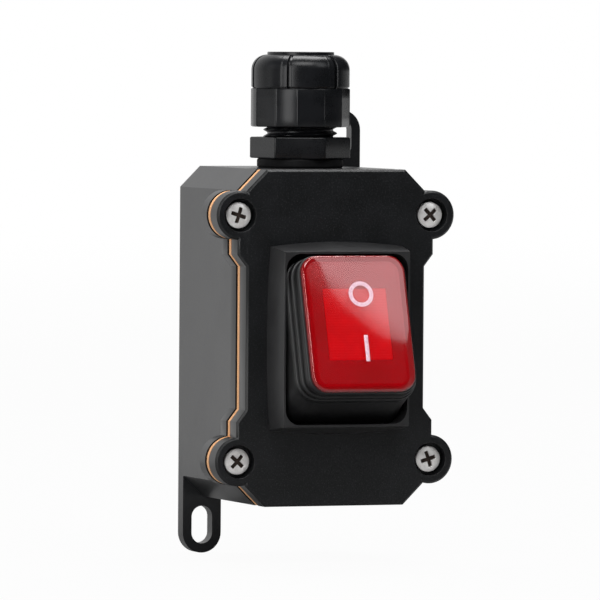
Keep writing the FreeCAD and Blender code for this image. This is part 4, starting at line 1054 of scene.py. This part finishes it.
@dataclass
class Boot:
    """Rubber boot: three steps that lean with the rocker, a skirt and a foot in the frame.

    Sizes are a half width, a half length and a corner radius. The pairs of the lip
    and the nose are a share of one step's growth and a rise above the step's top.
    """

    top: float = 10.269
    step: float = 1.42
    wall: float = 0.9
    lip: Profile = ((0.06, 0.85), (0.35, 0.83), (0.65, 0.76), (0.87, 0.63), (0.97, 0.45), (1.0, -0.2),
                    (1.0, -1.2), (0.96, -1.36))
    nose: Profile = ((0.0, 0.0), (0.35, -0.02), (0.65, -0.09), (0.87, -0.22), (0.97, -0.38),
                     (1.0, -0.56), (1.0, -1.2), (0.96, -1.36))
    cap_size: Triple = (11.5, 14.65, 3.6)
    growth: Triple = (0.66, 0.25, 0.4)
    foot_size: Triple = (13.5, 17.75, 3.2)
    ledge_size: Triple = (11.3, 14.15, 3.2)
    mouth_size: Triple = (9.8, 12.95, 1.8)
    mouth_rises: Triple = (9.37, 9.8, 10.269)
    foot_depth: float = 43.6
    foot_edge: float = 43.2
    floor_depth: float = 42.7
    skirt_rows: int = 14

    def steps(self, inset: float) -> tuple[np.ndarray, np.ndarray]:
        """Profile of the three steps as growth and rise, each a soft nose over a straight side.

        Args:
            inset: How far the profile is moved in, in millimetres.

        Returns:
            Sizes (half x, half z, corner) and rises, from the top down.
        """
        parts = [np.array(part) for part in (self.lip, self.nose, self.nose)]
        grown = np.concatenate([part[:, :1] + index for index, part in enumerate(parts)])
        rise = np.concatenate([self.top + part[:, 1] - self.step * index
                               for index, part in enumerate(parts)])
        sizes = np.array(self.cap_size) + grown * np.array(self.growth) - inset
        return sizes, rise - inset * 0.8

    def rigid_rows(self, sizes: np.ndarray, rise: np.ndarray) -> np.ndarray:
        """Loops that lean with the rocker."""
        return leaning(rounded_loops(*sizes.T), rise[:, None])

    def flat_rows(self, size: np.ndarray | Triple, *depths: float) -> np.ndarray:
        """Flat loops of one size at several depths."""
        half_x, half_z, corner = size
        loops = rounded_loops([half_x] * len(depths), half_z, corner)
        return spot(loops[..., 0], column(*depths), loops[..., 1])

    def skirt(self, upper: np.ndarray, inset: float) -> np.ndarray:
        """Rows between the last step and the foot, drawn in a little at half height.

        Each row is upper + (lower - upper) t, less a pinch of sin(pi t).
        """
        lower = self.flat_rows(np.array(self.foot_size) - inset, self.foot_depth)
        share = np.linspace(0, 1, self.skirt_rows)[1:, None, None]
        pinch = 1 - 0.02 * np.sin(np.pi * share)
        rows = upper[None] * (1 - share) + lower * share
        return np.concatenate([rows[..., :1] * pinch, rows[..., 1:]], axis=-1)

    def build(self) -> None:
        """Makes the boot's outer and inner skins as one closed band, and lets it bend."""
        outer = self.rigid_rows(*self.steps(0.0))
        foot = self.flat_rows(self.foot_size, self.foot_edge, self.floor_depth)
        ledge = self.flat_rows(self.ledge_size, self.floor_depth, self.foot_depth)
        sizes, rise = self.steps(self.wall)
        keep = rise < self.top - self.wall - 0.05
        inner = self.rigid_rows(sizes[keep], rise[keep])
        mouth = self.rigid_rows(np.array([self.mouth_size] * 3), np.array(self.mouth_rises))
        rim = self.rigid_rows(sizes[:1], np.array([self.top - self.wall]))
        share = 1 - np.linspace(0, 1, self.skirt_rows)[1:]
        parts = [(outer, 1.0), (self.skirt(outer[-1], 0.0), share), (foot, 0.0), (ledge, 0.0),
                 (self.skirt(inner[-1], self.wall)[-2::-1], share[-2::-1]), (inner[::-1], 1.0),
                 (rim, 1.0), (mouth, 1.0)]
        rows = np.concatenate([points for points, _ in parts])
        weights = np.concatenate([np.broadcast_to(weight, len(points)) for points, weight in parts])
        shell = Shell()
        shell.grid(rows, wrap_rows=True)
        boot = shell.build("rocker_boot_stepped", 60.0)
        BOOT_RUBBER.dress(boot)
        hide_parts("rocker_boot")
        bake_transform(boot, BODY, ROCKER, start=(0.0, -self.foot_depth * MM, 0.0), end=(0.0, -0.0482, 0.0))
        self.share_by_row(boot, rows, weights)
        LOG.info("%s bends between %s and %s", boot.name, BODY, ROCKER)

    @staticmethod
    def share_by_row(boot: bpy.types.Object, rows: np.ndarray, weights: np.ndarray) -> None:
        """Sets how far each point follows the rocker, by the row of the boot that it is in.

        The nearest row point gives the share: 1 on the steps, falling to 0 at the foot.
        """
        flat = rows.reshape(-1, 3)
        spread = np.repeat(weights, rows.shape[1])
        distance = ((point_places(boot)[:, None] - flat[None]) ** 2).sum(axis=-1)
        mark_points(boot, "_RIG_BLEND", spread[distance.argmin(axis=1)])


@dataclass
class Lens:
    """Red lens: a rounded tray with a softly crowned front, and the two printed marks."""

    half_x: float = 11.5
    half_z: float = 14.65
    corner: float = 3.6
    bottom: float = 10.369
    top: float = 12.369
    edge: float = 0.6
    wall: float = 1.2
    roof: float = 0.9
    crown: float = 0.16
    ink_above: float = 0.03
    ink_below: float = 0.05
    ring_middle: tuple[float, float] = (1.0, 6.2)
    ring_radii: tuple[float, float] = (1.86, 2.74)
    bar_x: tuple[float, float] = (0.65, 1.53)
    bar_z: tuple[float, float] = (-8.29, -2.67)

    def front(self, loops: np.ndarray) -> np.ndarray:
        """Height of the crowned front: top - crown ((x/hx)^2 + (z/hz)^2) / 2."""
        x, z = loops[..., 0], loops[..., 1]
        return self.top - self.crown * ((x / self.half_x) ** 2 + (z / self.half_z) ** 2) / 2

    def loops(self, insets: np.ndarray) -> np.ndarray:
        """Loops moved in by each inset, with corners that shrink no further than a small radius."""
        radius = np.maximum(self.corner - insets, 0.4)
        return rounded_loops(self.half_x - insets, self.half_z - insets, radius)

    def shell(self) -> Shell:
        """Outer side, rounded edge, crowned front to its middle, and the hollow behind."""
        quarter = np.linspace(0, np.pi / 2, 8)
        side = self.loops(np.zeros(4))
        bend = self.loops(self.edge * (1 - np.cos(quarter)))
        bend_rise = self.front(bend) - self.edge * (1 - np.sin(quarter)[:, None])
        side_rise = self.bottom + (bend_rise[:1] - self.bottom) * np.linspace(0, 1, 4)[:, None]
        face = bend[-1:] * np.linspace(1, 0, 16)[1:, None, None]
        hollow = self.loops(np.array([0.0, self.wall, self.wall]))
        inside = self.top - self.roof
        back = hollow[-1:] * np.linspace(1, 0, 6)[1:, None, None]
        made = Shell()
        made.grid(np.concatenate([leaning(side, side_rise), leaning(bend, bend_rise),
                                  leaning(face, self.front(face))]))
        made.grid(np.concatenate([leaning(hollow, column(self.bottom, self.bottom, inside)),
                                  leaning(back, inside)]))
        return made

    def film(self, loops: np.ndarray, name: str, closed: bool) -> None:
        """A printed mark: a thin skin on the crowned front.

        Args:
            loops: Rows by columns by (x, z), places on the lens.
            name: The piece's name.
            closed: Whether the columns join round.
        """
        level = self.front(loops)
        shell = Shell()
        shell.grid(np.concatenate([leaning(loops, level + self.ink_above),
                                   leaning(loops[::-1], level[::-1] - self.ink_below)]),
                   wrap_rows=True, wrap_columns=closed)
        piece = shell.build(name)
        if not closed:
            with edited(piece.data) as form:
                bmesh.ops.holes_fill(form, edges=form.edges)
                bmesh.ops.recalc_face_normals(form, faces=form.faces)
        carry(piece, ROCKER, Slot.LENS, MARK_PRINT)

    def marks(self) -> None:
        """The ring for off and the bar for on."""
        angle = full_turn(72)
        radius = np.linspace(*self.ring_radii, 5)[:, None]
        middle_x, middle_z = self.ring_middle
        ring = np.stack([middle_x + radius * np.cos(angle), middle_z + radius * np.sin(angle)], axis=-1)
        self.film(ring, "mark_off", True)
        bar = np.stack(np.meshgrid(np.linspace(*self.bar_x, 4), np.linspace(*self.bar_z, 14)), axis=-1)
        self.film(bar, "mark_on", False)

    def build(self) -> None:
        """Makes the lens and its marks."""
        carry(self.shell().build("rocker_lens_clear", 50.0), ROCKER, Slot.LENS, LENS_RED, "rocker_cap")
        self.marks()


@dataclass
class Switch:
    """Switch housing with its raised frame, the boot, the rocker and the works inside."""

    frame_edge: float = 0.2
    inner: dict[str, Finish] = field(default_factory=lambda: {
        "panel_seal": BOOT_RUBBER,
        "rocker_carrier": HOUSING_PLASTIC,
        "lamp_diffuser": DIFFUSER_RED,
        "indicator_lamp": LAMP_GLASS,
        "lamp_leads": LEAD_COPPER,
        "plungers": PLUNGER_BRASS,
        "plunger_springs": SPRING_STEEL,
        "contact_bridges": CONTACT_COPPER,
        "common_terminals": TERMINAL_BRASS,
        "load_terminals": TERMINAL_BRASS,
    })

    def build(self) -> None:
        """Rounds the frame, makes boot and lens, and dresses the works."""
        carry(softened("switch_housing", "switch_housing_framed", self.frame_edge), BODY, Slot.HOUSING,
              HOUSING_PLASTIC, "switch_housing")
        Boot().build()
        Lens().build()
        for node, finish in self.inner.items():
            dress_node(node, finish)


# Studio


@dataclass
class Studio:
    """Camera at the photograph's angle, pale floor and background, and soft lights."""

    azimuth: float = math.radians(20.905)
    elevation: float = math.radians(2.064)
    roll: float = math.radians(0.409)
    distance: float = 1.58125
    focal: float = 7447.36
    image: float = 600.0
    sensor: float = 36.0
    aim: tuple[float, float] = (-0.000038, 0.007193)
    floor_level: float = -0.0475
    card_strength: float = 2.8

    def axes(self) -> tuple[Vector, Vector, Vector]:
        """The camera's right, up and back directions before its roll."""
        back = Vector((-math.sin(self.azimuth) * math.cos(self.elevation),
                       -math.cos(self.azimuth) * math.cos(self.elevation), math.sin(self.elevation)))
        right = Vector((math.cos(self.azimuth), -math.sin(self.azimuth), 0.0))
        return right, back.cross(right), back

    def camera(self) -> None:
        """Places the camera by its direction, distance and roll."""
        right, up, back = self.axes()
        target = right * self.aim[0] + up * self.aim[1] + Vector((0.0, -0.02, 0.0))
        turned_right = right * math.cos(self.roll) + up * math.sin(self.roll)
        turned_up = up * math.cos(self.roll) - right * math.sin(self.roll)
        data = bpy.data.cameras.new("studio_camera")
        data.sensor_width = self.sensor
        data.lens = self.focal / self.image * self.sensor
        data.clip_start = 0.05
        data.clip_end = 20.0
        camera = placed("studio_camera", data)
        turn = Matrix((turned_right, turned_up, back)).transposed().to_4x4()
        camera.matrix_world = Matrix.Translation(target + back * self.distance) @ turn
        bpy.context.scene.camera = camera

    def world(self) -> None:
        """White where it is seen; as light, bright on the left, above and behind, and dark on the right."""
        world = bpy.data.worlds.new("studio_world")
        bpy.context.scene.world = world
        shader = Shader(world)
        direction = shader.node("ShaderNodeTexCoord").out("Generated")
        across, behind, up = map(shader.node("ShaderNodeSeparateXYZ", {0: direction}).out, "XYZ")
        side = behind * 0.93 - across * 0.36 + up * 0.1
        light = side.ramp(0.45, 0.98, 0.02, 0.95)
        seen = self.shown(shader, (behind * 0.933 + across * 0.357).ramp(0.93, 0.985))
        strength = seen * (1 - light) + light
        background = shader.node("ShaderNodeBackground", {"Color": rgb(1.0, 1.0, 1.0), "Strength": strength})
        shader.node("ShaderNodeOutputWorld", {"Surface": background.out("Background")})

    @staticmethod
    def shown(shader: Shader, behind: Value) -> Value:
        """1 for the camera's rays, and for mirrored and passed ones as far as they go behind."""
        path = shader.node("ShaderNodeLightPath")
        mirrored = (path.out("Is Glossy Ray") + path.out("Is Transmission Ray")).ramp(0.0, 1.0)
        return path.out("Is Camera Ray") + mirrored * behind

    @staticmethod
    def sheet(name: str, corners: list[Vector | Triple]) -> tuple[bpy.types.Object, Shader]:
        """A flat stage piece with one face, and the empty node tree of its material."""
        mesh = bpy.data.meshes.new(name)
        mesh.from_pydata(corners, [], [list(range(len(corners)))])
        material = bpy.data.materials.new(f"{name}_white")
        mesh.materials.append(material)
        return placed(name, mesh), Shader(material)

    def card(self) -> None:
        """A bright card up and to the right, whose lower left edge shows in the lens.

        Its plane is set square to the way from the lens, and its outline is given
        in that plane, in millimetres. It dims towards its lower left corner, by
        the sum of those two distances, and the camera itself sees through it.
        """
        middle = Vector((198.1, -486.2, 280.9)) * MM
        across = Vector((0.9081, 0.4187, 0.0))
        upward = Vector((-0.2106, 0.4567, 0.8643))
        outline = [(-15.0, 320.0), (-12.2, 28.1), (-10.5, 16.6), (-7.2, 10.5), (-2.7, 4.7), (2.4, -0.5),
                   (7.1, -5.5), (12.5, -9.9), (19.4, -12.8), (25.6, -14.4), (200.0, -18.0), (200.0, 320.0)]
        card, shader = self.sheet("studio_card", [middle + across * a * MM + upward * b * MM
                                                  for a, b in outline])
        slope = across + upward
        along = (shader.along("X") * slope.x + shader.along("Y") * slope.y
                 + shader.along("Z") * slope.z - middle.dot(slope))
        strength = along.ramp(0.0, 18.0 * MM, 0.2 * self.card_strength, self.card_strength)
        glow = shader.node("ShaderNodeEmission", {"Color": rgb(0.95, 0.97, 1.0), "Strength": strength})
        clear = shader.node("ShaderNodeBsdfTransparent", {"Color": rgb(1.0, 1.0, 1.0)})
        shader.mixture(shader.node("ShaderNodeLightPath").out("Is Camera Ray"), glow, clear)

    def floor(self) -> None:
        """A wide pale floor that nearly reaches white where the camera sees it."""
        half, near, level = 6.0, -0.3, self.floor_level
        floor, shader = self.sheet("studio_floor", [(-half, near, level), (half, near, level),
                                                    (half, half, level), (-half, half, level)])
        along = shader.along("Y")
        seen = self.shown(shader, along.ramp(0.0, 0.3)) * along.ramp(0.1, 2.5, 0.96, 1.0)
        matt = shader.node("ShaderNodeBsdfDiffuse", {"Color": rgb(0.35, 0.35, 0.35)})
        lit = shader.node("ShaderNodeEmission", {"Color": rgb(1.0, 1.0, 1.0), "Strength": 1.0})
        shader.mixture(seen, matt, lit)

    def lamp(self, name: str, place: Triple, aim: Triple, size: tuple[float, float],
             power: float) -> None:
        """Adds a soft rectangular lamp.

        Args:
            name: The lamp's name.
            place: Where it hangs, in metres.
            aim: The point that it faces.
            size: Its width and height.
            power: Its power in watts.
        """
        data = bpy.data.lights.new(name, "AREA")
        data.shape = "RECTANGLE"
        data.size, data.size_y = size
        data.energy = power
        lamp = placed(name, data)
        lamp.location = place
        lamp.rotation_euler = (Vector(aim) - Vector(place)).to_track_quat("-Z", "Y").to_euler()

    def build(self) -> None:
        """Sets up the whole studio."""
        bpy.context.scene.view_settings.view_transform = "Standard"
        self.camera()
        self.world()
        self.floor()
        self.card()
        middle = (0.0, -0.02, 0.0)
        self.lamp("left_lamp", (-0.72, -0.64, 0.2), middle, (0.4, 0.8), 5.0)
        self.lamp("far_left_lamp", (-0.95, 0.1, 0.3), middle, (0.3, 0.7), 0.6)
        self.lamp("front_lamp", (-0.15, -0.62, 0.85), middle, (0.7, 0.4), 6.0)
        self.lamp("top_lamp", (0.15, 0.25, 0.85), middle, (0.6, 0.5), 8.0)


def main() -> None:
    """Builds the studio and the object."""
    logging.basicConfig(level=logging.INFO, format="%(name)s: %(message)s")
    Studio().build()
    Enclosure().build()
    CableGland().build()
    Switch().build()


if __name__ == "__main__":
    main()
